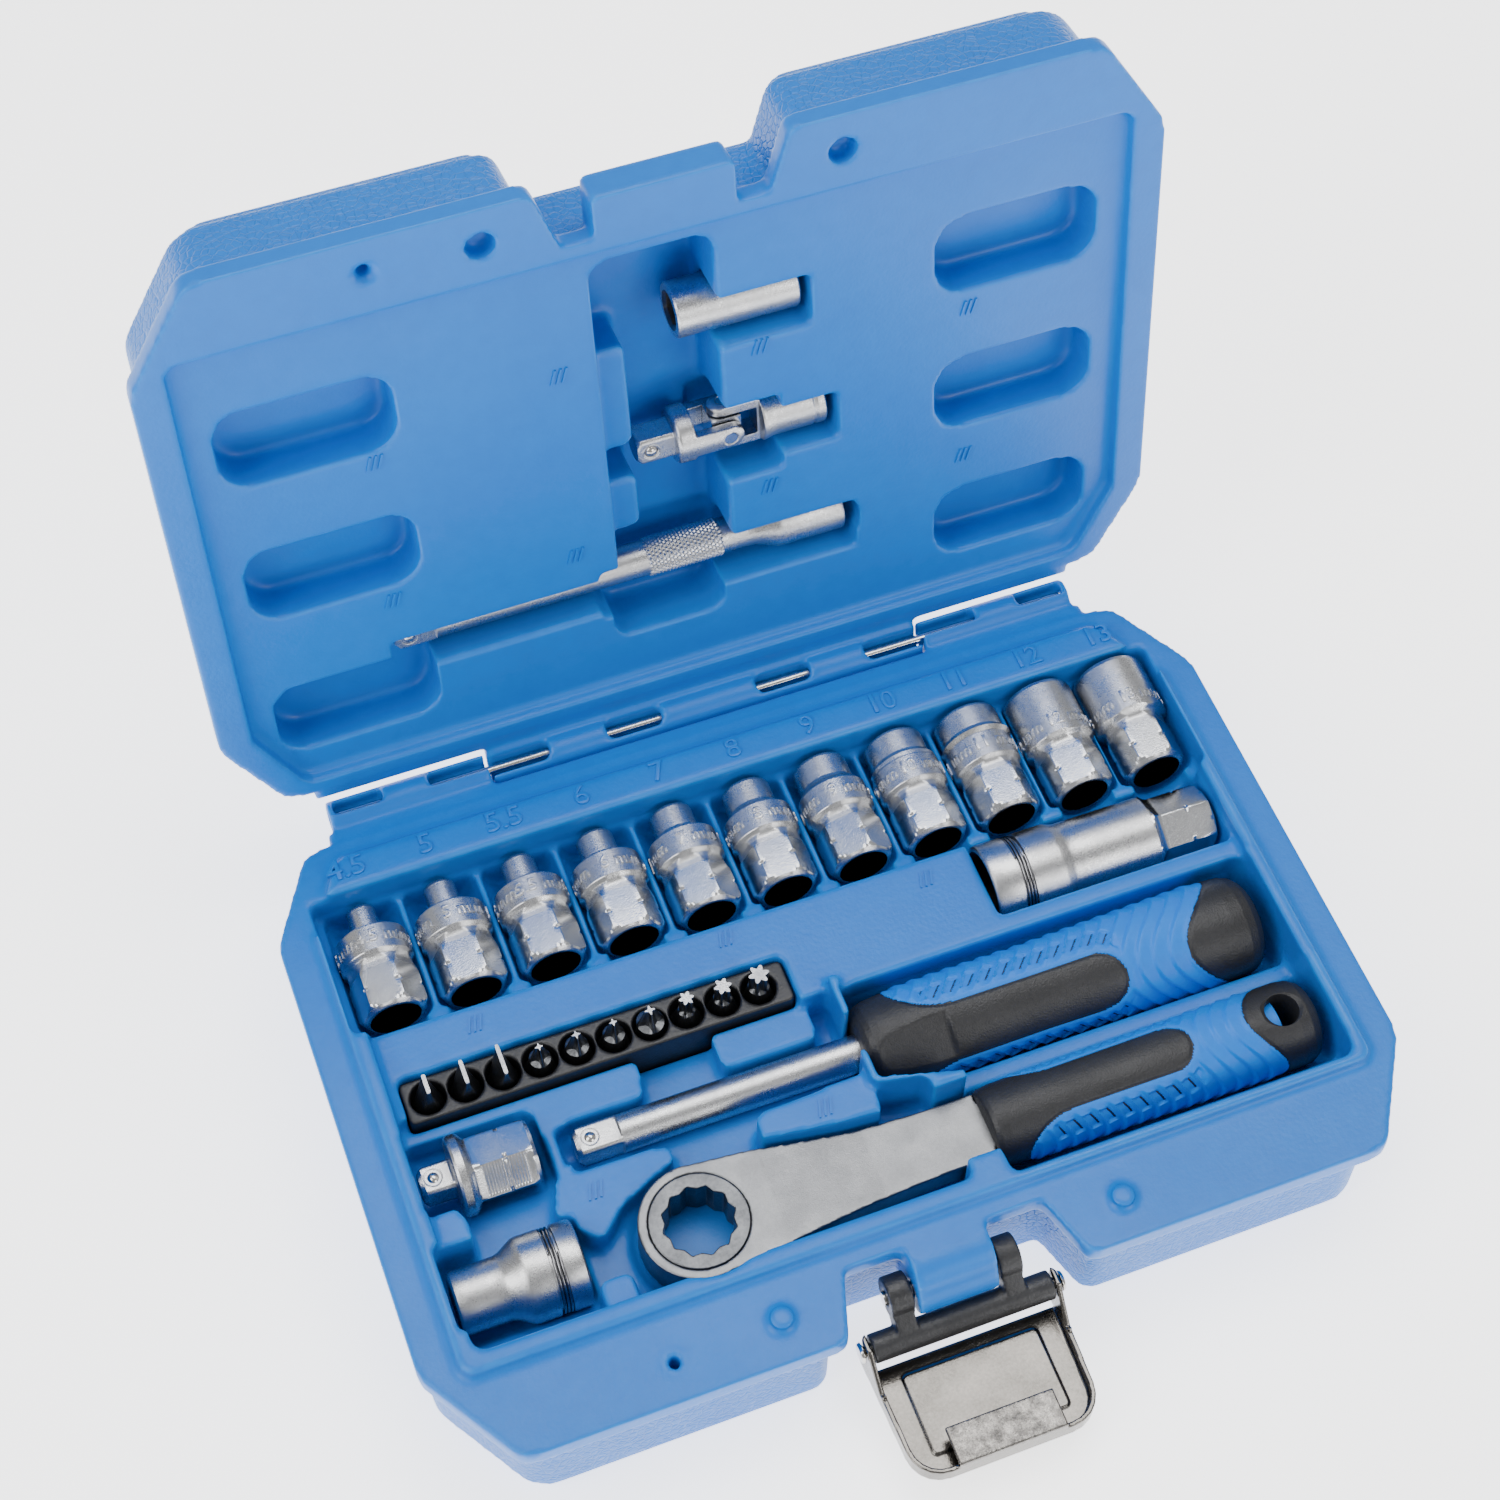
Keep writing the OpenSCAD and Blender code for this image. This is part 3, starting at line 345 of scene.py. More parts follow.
def pale_floor():
    material, tree, bsdf = plain_material("pale_floor", (0.92, 0.92, 0.93), roughness=0.6)
    two_colours(tree, bsdf, (0.92, 0.92, 0.93), (0.94, 0.94, 0.95), 6)
    bsdf.inputs["Emission Color"].default_value = (1, 1, 1, 1)
    bsdf.inputs["Emission Strength"].default_value = 2.2
    return material


floor.data.materials.append(pale_floor())


# %% [markdown]
# ## Making meshes
# Three ways of making a shape cover almost everything here. A CAD node is copied and its edges
# are rounded by turning it into small cells and smoothing them. A turned tool is a profile swept
# round an axis, with flats cut where a file or a mill would cut them. Small repeated things are
# placed by Geometry Nodes.


# %% Object helpers
def shade_by_angle(mesh, degrees):
    """Smooth shading, except over edges that turn more than so many degrees."""
    bm = bmesh.new()
    bm.from_mesh(mesh)
    limit = math.radians(degrees)
    for face in bm.faces:
        face.smooth = True
    for e in bm.edges:
        e.smooth = len(e.link_faces) != 2 or e.calc_face_angle(0) < limit
    bm.to_mesh(mesh)
    bm.free()


def finish_piece(obj, body, slot, *nodes):
    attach(obj, body)
    if nodes:
        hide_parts(*nodes)
    print(obj.name, len(obj.data.polygons), "faces, rides on", body)
    return obj


# %% Softened copies of CAD nodes
def softened(node, name, voxel, rounds, keep, materials, turn=STAY):
    """A copy of a CAD node with rounded edges, left in its unturned place. The voxel is in millimetres, and
    keep is the share of faces kept."""
    bm = bmesh.new()
    bm.from_mesh(frame["nodes"][node].data)
    bmesh.ops.remove_doubles(bm, verts=bm.verts, dist=1e-6)
    bm.transform(turn.inverted())
    mesh = bpy.data.meshes.new(name)
    bm.to_mesh(mesh)
    bm.free()
    rough = add_object(name + "_rough", mesh)
    cells = rough.modifiers.new("cells", "REMESH")
    cells.mode = "VOXEL"
    cells.voxel_size = voxel * MM
    smooth = rough.modifiers.new("rounding", "SMOOTH")
    smooth.factor = 0.5
    smooth.iterations = rounds
    if keep < 1:
        fewer = rough.modifiers.new("fewer", "DECIMATE")
        fewer.ratio = keep
    soft = evaluated_mesh(rough)
    bpy.data.objects.remove(rough)
    soft.name = name
    soft.materials.clear()
    soft.polygons.foreach_set("use_smooth", [True] * len(soft.polygons))
    return add_object(name, soft, materials)


def soft_piece(node, name, voxel, rounds, keep, material, body, slot, turn=STAY):
    """A softened node that rides on a body and takes the node's place."""
    piece = softened(node, name, voxel, rounds, keep, [material], turn)
    finish_piece(piece, body, slot, node)
    if turn is not STAY:
        piece.data.transform(turn)


def points_of(mesh):
    flat = np.empty(len(mesh.vertices) * 3)
    mesh.vertices.foreach_get("co", flat)
    return flat.reshape(-1, 3)


def paint(mesh, name, values):
    layer = mesh.attributes.new(name, "FLOAT", "POINT")
    layer.data.foreach_set("value", np.asarray(values, dtype=np.float32))


def edge_strength(mesh):
    """How convex the mesh is at each point, from 0 on flats to 1 on tight edges."""
    at = points_of(mesh)
    ends = np.empty(len(mesh.edges) * 2, dtype=np.int64)
    mesh.edges.foreach_get("vertices", ends)
    ends = ends.reshape(-1, 2)
    near = np.zeros_like(at)
    count = np.zeros(len(at))
    for a, b in ((0, 1), (1, 0)):
        np.add.at(near, ends[:, a], at[ends[:, b]])
        np.add.at(count, ends[:, a], 1)
    near /= np.maximum(count, 1)[:, None]
    normals = np.empty(len(mesh.vertices) * 3)
    mesh.vertices.foreach_get("normal", normals)
    lift = ((at - near) * normals.reshape(-1, 3)).sum(axis=1)
    return np.clip((lift / MM - 0.05) / 0.10, 0, 1)


# %% Turned tools
def polygon_radius(angles, sides, flats, turn=0.0):
    """Radius of a regular polygon with that distance across its flats, at each angle."""
    part = 2 * math.pi / sides
    local = (angles - turn + part / 2) % part - part / 2
    return flats / 2 / np.cos(local)


def tube(name, points, around, place, materials, degrees, closed=False, slots=None):
    """A skin over rings of points, each joined to the next. Its ends are capped, unless it is closed:
    then the last ring joins the first."""
    count = len(points) // around
    faces = []
    for i in range(count if closed else count - 1):
        j = (i + 1) % count
        for k in range(around):
            m = (k + 1) % around
            faces.append((i * around + k, i * around + m, j * around + m, j * around + k))
    if not closed:
        faces.append(tuple(range(around))[::-1])
        faces.append(tuple((count - 1) * around + k for k in range(around)))
    mesh = bpy.data.meshes.new(name)
    mesh.from_pydata([tuple(p) for p in points], [], faces)
    if slots:
        mesh.polygons.foreach_set("material_index", slots)
    bm = bmesh.new()
    bm.from_mesh(mesh)
    bmesh.ops.recalc_face_normals(bm, faces=bm.faces)
    bm.to_mesh(mesh)
    bm.free()
    shade_by_angle(mesh, degrees)
    mesh.transform(place)
    if place.determinant() < 0:
        mesh.flip_normals()
    return add_object(name, mesh, materials)


def turned(name, rows, place, materials, segments=144, bands=()):
    """Sweeps rows of (x, radius, cut) round +X. A cut is None, ("flat", sides, across) for flats cut on a
    round bar, ("hole", sides, across) for a broached hole, or a function of the angles. A fourth value
    turns the flats. Rows run along the outside and, for a hollow part, back along the bore. bands gives
    (first row, last row, material index)."""
    angles = np.arange(segments) * 2 * math.pi / segments
    rings = []
    for x, radius, cut in rows:
        r = np.full(segments, float(radius))
        if callable(cut):
            r = cut(angles, r)
        elif cut and cut[0] == "flat":
            r = np.minimum(r, polygon_radius(angles, *cut[1:]))
        elif cut:
            r = np.maximum(r, polygon_radius(angles, *cut[1:]))
        along = np.full(segments, float(x))
        rings.append(np.column_stack([along, r * np.sin(angles), r * np.cos(angles)]))
    closed = rows[0][:2] == rows[-1][:2]
    slots = []
    for i in range(len(rows) - 1):
        index = 0
        for first, last, slot in bands:
            if first <= i < last:
                index = slot
        slots += [index] * segments
    if closed:
        rings.pop()
    else:
        slots += [0, slots[-1]]
    return tube(name, np.concatenate(rings) * MM, segments, place, materials, 28, closed, slots)


def plain(*rows):
    """Rows of (x, radius) without a cut."""
    return [(x, r, None) for x, r in rows]


def at_point(x, y, z, axis="X"):
    """Matrix that puts a part turned about +X at a point, along X or along Y."""
    turn = Matrix.Rotation(math.radians(90), 4, "Z") if axis == "Y" else STAY
    return Matrix.Translation(Vector((x, y, z)) * MM) @ turn


def standing(x, y, z):
    """Matrix that stands a part turned about +X upright at a point."""
    return Matrix.Translation(Vector((x, y, z)) * MM) @ Matrix.Rotation(math.radians(-90), 4, "Y")



def lid_place(y):
    """The same for a tool in the lid, along X at distance y from the middle."""
    flip = Matrix.Diagonal((1, 1, -1, 1))
    return OPEN_LID @ Matrix.Translation(Vector((LID_SHIFT, y, BASE_H + LID_AXIS)) * MM) @ flip


def fine(rows, step=0.5):
    """Adds rows between far ones, so that a cut that fades along the axis stays smooth."""
    out = [rows[0]]
    for a, b in zip(rows, rows[1:]):
        parts = max(1, int(abs(b[0] - a[0]) / step))
        for k in range(1, parts + 1):
            t = k / parts
            out.append((a[0] + (b[0] - a[0]) * t, a[1] + (b[1] - a[1]) * t, b[2]))
    return out


# %% [markdown]
# ## The case
# Both halves are copied from the exact model and softened. The lid is softened while shut, so
# that its flat faces line up with the cells and stay flat.


# %% Base and lid
HALF_DEPTH = 70.5
FLANGE = 2.5


def wall_outline():
    """Corner points of the walls under the flange, seen from above, in millimetres."""
    low, high = size_of("base_shell")
    w = high.x - FLANGE
    d = HALF_DEPTH - FLANGE
    return np.array([
        (w, d - 19.5), (w - 11, d), (-w + 11, d), (-w, d - 19.5), (-w, -d + 22), (-w + 13.8, -d),
        (-28, -d), (-23.5, -54), (23.5, -54), (28, -d), (w - 13.8, -d), (w, -d + 22)])


def wall_distance(at):
    """Distance of points (in millimetres) from the wall outline, seen from above."""
    corners = wall_outline()
    best = np.full(len(at), 1e9)
    for a, b in zip(corners, np.roll(corners, -1, axis=0)):
        run = b - a
        t = np.clip(((at[:, :2] - a) @ run) / (run @ run), 0, 1)
        best = np.minimum(best, np.hypot(*(at[:, :2] - a - t[:, None] * run).T))
    return best


def dress_shell(node, name, body, turn, flange_side):
    obj = softened(node, name, 0.75, 5, 0.42, [BLUE], turn)
    at = points_of(obj.data) / MM
    depth = (BASE_H - at[:, 2]) if flange_side < 0 else (at[:, 2] - BASE_H)
    near = wall_distance(at) < 2.2
    paint(obj.data, "outside", np.where(near & (depth > 5.6) | (depth > 22.4), 1.0, 0.0))
    # `edge` marks convex edges, where the blue is painted paler: a painted highlight, partly also real
    # rubbing.
    paint(obj.data, "edge", edge_strength(obj.data) * 0.8)
    obj.data.transform(turn)
    return finish_piece(obj, body, "blue_shell", node)


dress_shell("base_shell", "base_tray", "base", STAY, -1)
dress_shell("lid_shell", "lid_tray", "lid", OPEN_LID, 1)

# %% Locating pegs
peg_rows = plain((-0.6, 2.4), (0.9, 2.4), (1.35, 2.2), (1.62, 1.7), (1.7, 1.0), (1.7, 0.02))
for side in (-1, 1):
    spot = standing(side * 36.2, -61.9, BASE_H)
    peg = turned("locating_peg_" + ("left" if side < 0 else "right"), peg_rows, spot, [BLUE], 48)
    finish_piece(peg, "base", "blue_shell")

# %% [markdown]
# ## Size numbers and hatch marks
# The mould also raises a size number in front of each socket and small groups of three slanted
# strokes on the deck and in the lid. The numbers are text turned into a low relief. The strokes
# repeat, so one stroke is instanced by Geometry Nodes, three at each place.


# %% Raised numbers
def raised_text(words, height, relief, where, turn=STAY):
    """Mesh of raised lettering lying flat, centred at a point given in millimetres."""
    curve = bpy.data.curves.new("number", "FONT")
    curve.body = words
    curve.size = height * 1.38 * MM
    curve.align_x = "CENTER"
    curve.align_y = "CENTER"
    curve.extrude = relief * MM
    curve.bevel_depth = 0.12 * MM
    curve.bevel_resolution = 1
    curve.resolution_u = 4
    obj = add_object("number", curve)
    mesh = evaluated_mesh(obj)
    bpy.data.objects.remove(obj)
    mesh.transform(turn @ Matrix.Translation(Vector(where) * MM))
    return mesh


def join_meshes(name, meshes, materials):
    bm = bmesh.new()
    for mesh in meshes:
        bm.from_mesh(mesh)
    bmesh.ops.remove_doubles(bm, verts=bm.verts, dist=1e-7)
    joined = bpy.data.meshes.new(name)
    bm.to_mesh(joined)
    bm.free()
    shade_by_angle(joined, 40)
    return add_object(name, joined, materials)


SOCKETS = ["4.5", "5", "5.5", "6", "7", "8", "9", "10", "11", "12", "13"]


def socket_node(size):
    return "socket_" + size.replace(".", "p")


numbers = [raised_text(size, 5.0, 0.32, (centre_of(socket_node(size)).x - 0.4, 62.7, DECK_Z))
           for size in SOCKETS]
finish_piece(join_meshes("size_numbers", numbers, [BLUE]), "base", "blue_shell")


# %% Hatch marks with Geometry Nodes
def points_mesh(name, places):
    mesh = bpy.data.meshes.new(name)
    mesh.from_pydata([tuple(Vector(p) * MM) for p in places], [], [])
    return add_object(name, mesh)


def bake_nodes(obj, tree, values, materials):
    """Runs a Geometry Nodes tree on an object and returns the plain mesh it makes."""
    modifier = obj.modifiers.new("nodes", "NODES")
    modifier.node_group = tree
    for item in tree.interface.items_tree:
        if item.item_type == "SOCKET" and item.in_out == "INPUT" and item.name in values:
            modifier[item.identifier] = values[item.name]
    mesh = evaluated_mesh(obj)
    obj.modifiers.clear()
    name = obj.name
    bpy.data.objects.remove(obj)
    mesh.materials.clear()
    shade_by_angle(mesh, 35)
    return add_object(name, mesh, materials)


def node_tree(name, inputs):
    tree = bpy.data.node_groups.new(name, "GeometryNodeTree")
    tree.interface.new_socket("Geometry", in_out="INPUT", socket_type="NodeSocketGeometry")
    for label, kind, value in inputs:
        socket = tree.interface.new_socket(label, in_out="INPUT", socket_type=kind)
        if value is not None:
            socket.default_value = value
    tree.interface.new_socket("Geometry", in_out="OUTPUT", socket_type="NodeSocketGeometry")
    return tree, tree.nodes.new("NodeGroupInput"), tree.nodes.new("NodeGroupOutput")


def end_tree(tree, inside, outside, instances):
    """Makes the instances real, gives them the material and hands them out."""
    real = add_node(tree, "GeometryNodeRealizeInstances")
    paint_it = add_node(tree, "GeometryNodeSetMaterial")
    wire(tree, (instances, "Instances", real, "Geometry"), (real, "Geometry", paint_it, "Geometry"),
         (inside, "Material", paint_it, "Material"), (paint_it, "Geometry", outside, "Geometry"))


def hatch_tree():
    tree, inside, outside = node_tree("hatch_marks", [
        ("Length", "NodeSocketFloat", 0.0038), ("Width", "NodeSocketFloat", 0.00045),
        ("Spacing", "NodeSocketFloat", 0.0012), ("Slant", "NodeSocketFloat", 0.35),
        ("Relief", "NodeSocketFloat", 0.0007), ("Material", "NodeSocketMaterial", None)])
    stroke = add_node(tree, "GeometryNodeMeshCube")
    size = add_node(tree, "ShaderNodeCombineXYZ")
    line = add_node(tree, "GeometryNodeMeshLine", Count=3)
    step = add_node(tree, "ShaderNodeCombineXYZ")
    start = add_node(tree, "ShaderNodeCombineXYZ")
    minus = add_node(tree, "ShaderNodeMath", ("operation", "MULTIPLY"))
    minus.inputs[1].default_value = -1
    slant = add_node(tree, "ShaderNodeCombineXYZ")
    row = add_node(tree, "GeometryNodeInstanceOnPoints")
    marks = add_node(tree, "GeometryNodeInstanceOnPoints")
    wire(tree, (inside, "Width", size, "X"), (inside, "Length", size, "Y"), (inside, "Relief", size, "Z"),
         (size, 0, stroke, "Size"), (inside, "Spacing", step, "X"), (inside, "Spacing", minus, 0),
         (minus, 0, start, "X"), (step, 0, line, "Offset"), (start, 0, line, "Start Location"),
         (inside, "Slant", slant, "Z"), (line, "Mesh", row, "Points"), (stroke, "Mesh", row, "Instance"),
         (slant, 0, row, "Rotation"), (inside, "Geometry", marks, "Points"),
         (row, "Instances", marks, "Instance"))
    end_tree(tree, inside, outside, marks)
    return tree


HATCH = hatch_tree()
deck_points = [(-72, 20.5, MIDDLE_Z), (-16.8, 21.4, MIDDLE_Z), (28.2, 20.1, MIDDLE_Z), (-11.6, -22.4, 28.6),
               (-60.3, -21.2, LEDGE_Z)]
PANEL_Z = BASE_H + 3
lid_points = [(x, y, PANEL_Z) for x, y in (
    (-23.7, -23.1), (18.3, -16.4), (18.8, 22.5), (-24.6, 26.3), (-63.7, 24), (-62.4, -14.1), (63.9, -11.5),
    (63.1, 29.7))]
for half, places, slant, turn in (("base", deck_points, -0.3, STAY), ("lid", lid_points, 0.3, OPEN_LID)):
    marks = bake_nodes(points_mesh(half + "_hatch_marks", places), HATCH,
                       {"Slant": slant, "Material": BLUE}, [BLUE])
    marks.data.transform(turn)
    finish_piece(marks, half, "blue_shell")

# %% [markdown]
# ## Hinge rod and latch
# The rod and pin are plain bright wire with rounded ends. The latch plate is stamped from thin
# sheet, so its edges are softened with very small cells. A black moulded link joins it to the
# case, held by two rivets.

# %% Hinge and latch pieces
rod_low, rod_high = size_of("hinge_rod")
rod_r = (rod_high.z - rod_low.z) / 2
rod = plain((rod_low.x, rod_r * 0.6), (rod_low.x + 0.5, rod_r), (rod_high.x - 0.5, rod_r),
            (rod_high.x, rod_r * 0.6))
rod_mid = centre_of("hinge_rod")
finish_piece(turned("hinge_wire", rod, at_point(0, rod_mid.y, rod_mid.z), [BRIGHT], 32), "base",
             "bright_steel", "hinge_rod")
plate = softened("latch_plate", "latch_dish", 0.26, 3, 0.7, [STAMPED, ROUGH_STEEL])
low, high = size_of("latch_plate")
spangled = []
for polygon in plate.data.polygons:
    c = polygon.center / MM
    spangled.append(1 if abs(c.x) < 11 and c.y < low.y + 8 and c.z > low.z + 4.8 else 0)
plate.data.polygons.foreach_set("material_index", spangled)
finish_piece(plate, "plate", "bright_steel", "latch_plate")
soft_piece("latch_link", "latch_arms", 0.3, 5, 0.6, LINK_BLACK, "link", "black_plastic")
soft_piece("latch_rivets", "latch_rivet_heads", 0.15, 3, 0.6, BRIGHT, "link", "bright_steel")

# %% [markdown]
# ## The sockets
# Each socket starts as a bar. The middle is turned round, the nut end is turned down to a nose,
# and the drive end is milled to six flats with a small nick across each corner. The cut is part
# of the sweep: at every angle the radius is the smaller of the turned and the milled one.


# %% Socket shape
def smooth_share(t):
    t = min(max(t, 0), 1)
    return t * t * (3 - 2 * t)


HEX_ACROSS = 13.0
NICK_DEEP = 0.34


def nicked(x, r, angles, turn, nick_x, across=HEX_ACROSS):
    """Radius of a bar with six milled flats, and a small nick across each corner at nick_x."""
    flat = polygon_radius(angles, 6, across, turn)
    local = np.abs((angles - turn + math.pi / 6) % (math.pi / 3) - math.pi / 6)
    corner = np.clip((local - math.radians(24)) / math.radians(2), 0, 1)
    return np.minimum(r, flat) - NICK_DEEP * math.exp(-((x - nick_x) / 0.3) ** 2) * corner


def socket_rows(size, node, turn):
    low, high = size_of(node)
    length = high.y - low.y
    body = (high.x - low.x) / 2
    nose = min(size * 1.32 + 0.4, body * 2) / 2
    nick_x = 5.4

    def milled(x, depth):
        """The hex flats, which run out into the body past their end."""
        return lambda angles, r: nicked(x, r, angles, turn, nick_x, HEX_ACROSS + depth)

    outer = [(0.0, 5.6), (0.06, 6.0), (0.3, 6.35), (0.8, 6.8), (1.3, 7.2), (1.7, 7.42), (2.2, 7.5)]
    outer += [(4.6, 7.5)]
    outer += [(nick_x + d, 7.5) for d in (-0.5, -0.35, -0.2, 0, 0.2, 0.35, 0.5)]
    outer += [(6.2, 7.5), (8.6, 7.5), (9.2, 7.46), (9.8, 7.3), (10.4, 7.08), (10.8, 7.0)]
    rows = [(x, r, milled(x, 0.0)) for x, r in outer]
    for k in range(1, 13):
        x = 10.8 + 0.2 * k
        waist = 7.0 + (body - 7.0) * smooth_share((x - 11.9) / 1.1)
        rows.append((x, waist, milled(x, 0.022 * k * k)))
    rows += plain((13.4, body), (18.7, body))
    if nose < body - 0.3:
        rows += plain((19.0, body - 0.12), (19.9, nose + 0.9), (20.4, nose + 0.28), (21.2, nose),
                      (length - 0.9, nose), (length - 0.35, nose - 0.18), (length, nose - 0.55))
    else:
        rows += plain((length - 1.2, body), (length - 0.4, body - 0.25), (length, body - 0.9))
    nut = ("hole", 6, size + 0.1)
    inside = 5.3
    rows += [(length - 0.3, size / 2, nut), (length - 8.0, size / 2, nut)]
    rows += plain((length - 8.2, inside), (2.0, inside), (0.6, inside + 0.05), (0.0, 5.5))
    return rows, body


def bent_number(words, height, radius, along, face, place):
    """Raised lettering wrapped round a socket, readable from its drive end."""
    flat = raised_text(words, height, 0.15, (0, 0, 0))
    for vertex in flat.vertices:
        p = vertex.co / MM
        angle = p.x / radius + math.radians(face)
        r = radius + p.z + 0.02
        vertex.co = Vector((along + p.y, -r * math.sin(angle), r * math.cos(angle))) * MM
    flat.transform(place)
    return flat


# How far each socket has been turned in its seat, in degrees
TURNS = [8, 6, 9, 2, 12, 5, 16, 7, 3, 11, 5]
for size, degrees in zip(SOCKETS, TURNS):
    node = socket_node(size)
    low, high = size_of(node)
    middle = (low.z + high.z) / 2
    place = at_point((low.x + high.x) / 2, low.y, middle, "Y")
    rows, body = socket_rows(float(size), node, math.radians(degrees))
    bore_from = len(rows) - 5
    socket = turned(node + "_mm", rows, place, [SATIN, GROUND, BORE], 180,
                    [(3, 18, 1), (bore_from - 1, len(rows), 2)])
    shade_by_angle(socket.data, 16)
    marks = [bent_number(size + " mm", 3.0, body, 16.1, face, place) for face in (-70, 20, 110)]
    lettering = join_meshes(node + "_number", marks, [SATIN])
    finish_piece(socket, node + "_tool", "satin_chrome", node)
    finish_piece(lettering, node + "_tool", "satin_chrome")


# %% [markdown]
# ## Adapters, spinner shaft and the tools in the lid
# These are all turned from bar too, with square or hexagonal ends. A square drive is a round bar
# with four flats and chamfered corners, and a wire ring of three turns sits in each groove.

# %% Square and hex cuts
SQUARE = ("flat", 4, 6.35)
SQUARE_HOLE = ("hole", 4, 6.45)
HEX_HOLE = ("hole", 6, 13.15)


def drive_end(x0, x1, blend_r):
    """Rows of a square drive from its tip to its shoulder."""
    return [(x0, 2.4, SQUARE), (x0 + 0.15, 3.0, SQUARE), (x0 + 1.0, 4.0, SQUARE), (x0 + 1.6, 4.15, SQUARE),
            (x1 - 1.0, 4.15, SQUARE), (x1 - 0.3, 4.15, ("flat", 4, 6.5)), (x1, 4.15, ("flat", 4, 7.2)),
            (x1 + 0.1, blend_r, None)]


UPWARD = Vector((0, 0, 1))
OUT_OF_LID = OPEN_LID.to_3x3() @ Vector((0, 0, -1))


def spring_ball(node, name, body, facing=UPWARD):
    """The ball of a square drive, with the rolled-in ring that keeps it in its hole."""
    middle = centre_of(node)
    ring = plain((-0.3, 2.0), (0.05, 2.0), (0.10, 1.9), (0.05, 1.72), (-0.08, 1.64), (-0.3, 1.2), (-0.3, 2.0))
    face = facing.to_track_quat("X", "Z").to_matrix().to_4x4()
    seat = Matrix.Translation((middle + facing * 0.9) * MM) @ face
    finish_piece(turned(name + "_seat", ring, seat, [SATIN, BORE], 48, [(3, 6, 1)]), body, "satin_chrome")
    low, high = size_of(node)
    r = (high.x - low.x) / 2
    arc = [math.pi * k / 16 for k in range(17)]
    rows = plain(*((-r * math.cos(a), max(r * math.sin(a), 0.02)) for a in arc))
    ball = turned(name, rows, at_point(middle.x, middle.y, middle.z), [BRIGHT], 32)
    shade_by_angle(ball.data, 60)
    return finish_piece(ball, body, "bright_steel", node)


def three_wires(node, name, body, radius, place, x):
    """A retaining spring round a groove at x: three close turns of fine wire."""
    turns = 3
    steps = 180
    around = 8
    wire_r = 0.34
    pitch = 0.72
    at = []
    for k in range(steps + 1):
        a = 2 * math.pi * turns * k / steps
        cx = x + (k / steps - 0.5) * turns * pitch
        for m in range(around):
            b = 2 * math.pi * m / around
            r = radius + wire_r * math.cos(b)
            at.append(Vector((cx + wire_r * math.sin(b), r * math.sin(a), r * math.cos(a))) * MM)
    finish_piece(tube(name, at, around, place, [SPRING_WIRE], 50), body, "black_steel", node)


# %% Adapters
def ribbed_hex(x, nick_x, turn, ribs):
    """A milled hex with its nick; ribs gives where the fine ribs start and end, and which way they face."""
    def cut(angles, r):
        out = nicked(x, r, angles, turn, nick_x)
        if ribs and ribs[0] < x < ribs[1]:
            away = np.abs((angles - ribs[2] + math.pi) % (2 * math.pi) - math.pi)
            wave = 0.5 - 0.5 * math.cos(2 * math.pi * (x - ribs[0]) / 0.62)
            out = out - 0.11 * wave * (away < math.radians(27))
        return out
    return cut


def hex_rows(x0, x1, nick_x, turn=0.0, ribs=None):
    """Rows along a milled driving hex between two positions, with its nick and, on one flat, fine ribs."""
    places = [x0, x1] + [nick_x + d for d in (-0.7, -0.5, -0.35, -0.2, 0, 0.2, 0.35, 0.5, 0.7)]
    if ribs:
        places += list(np.arange(ribs[0], ribs[1], 0.155))
    return [(x, 7.5, ribbed_hex(x, nick_x, turn, ribs)) for x in sorted(places)]


axis = centre_of("square_adapter")
place = at_point(0, axis.y, BASE_H - 7)
rows = drive_end(-93.0, -86.2, 4.6)
rows += plain((-86.0, 7.6), (-85.7, 8.2), (-85.2, 8.5), (-83.7, 8.5), (-83.2, 8.2), (-82.6, 7.6))
turn = math.radians(10)
end_hex = ("flat", 6, HEX_ACROSS, turn)
milled = hex_rows(-81.8, -70.6, -75.6, turn, (-80.6, -71.6, math.radians(-50)))
rows += [(-82.2, 7.3, ("flat", 6, 13.3, turn))] + milled
rows += [(-69.9, 7.2, end_hex), (-69.2, 6.4, end_hex)] + plain((-69.2, 4.7), (-79.0, 4.6), (-79.2, 0.05))
square_tool = turned("square_adapter_body", rows, place, [SATIN, GROUND, BORE], 168,
                     [(0, 8, 0), (14, 15 + len(milled), 1), (len(rows) - 4, len(rows), 2)])
finish_piece(square_tool, "square_adapter_tool", "satin_chrome", "square_adapter")
spring_ball("square_adapter_ball", "square_adapter_spring_ball", "square_adapter_tool")

axis = centre_of("round_adapter")
place = at_point(0, axis.y, BASE_H - 8)
rows = plain((-93.8, 5.6), (-93.7, 6.1), (-93.3, 6.5), (-92.8, 6.6), (-84.0, 6.6), (-82.8, 6.9), (-80.6, 8.2),
             (-79.8, 8.65), (-79.0, 8.8), (-74.4, 8.8), (-74.2, 8.1), (-72.0, 8.1), (-71.8, 8.8),
             (-68.5, 8.8), (-67.9, 8.6), (-67.6, 8.2), (-67.6, 7.7))
rows += [(-68.1, 7.4, HEX_HOLE), (-79.6, 6.6, HEX_HOLE), (-80.0, 5.0, None), (-84.0, 3.2, SQUARE_HOLE),
         (-93.3, 3.2, SQUARE_HOLE), (-93.8, 4.9, None), (-93.8, 5.6, None)]
round_tool = turned("round_adapter_body", fine(rows, 2.0), place, [SATIN], 168)
finish_piece(round_tool, "round_adapter_tool", "satin_chrome", "round_adapter")
three_wires("round_adapter_ring", "round_adapter_wire", "round_adapter_tool", 8.45, place, -73.1)

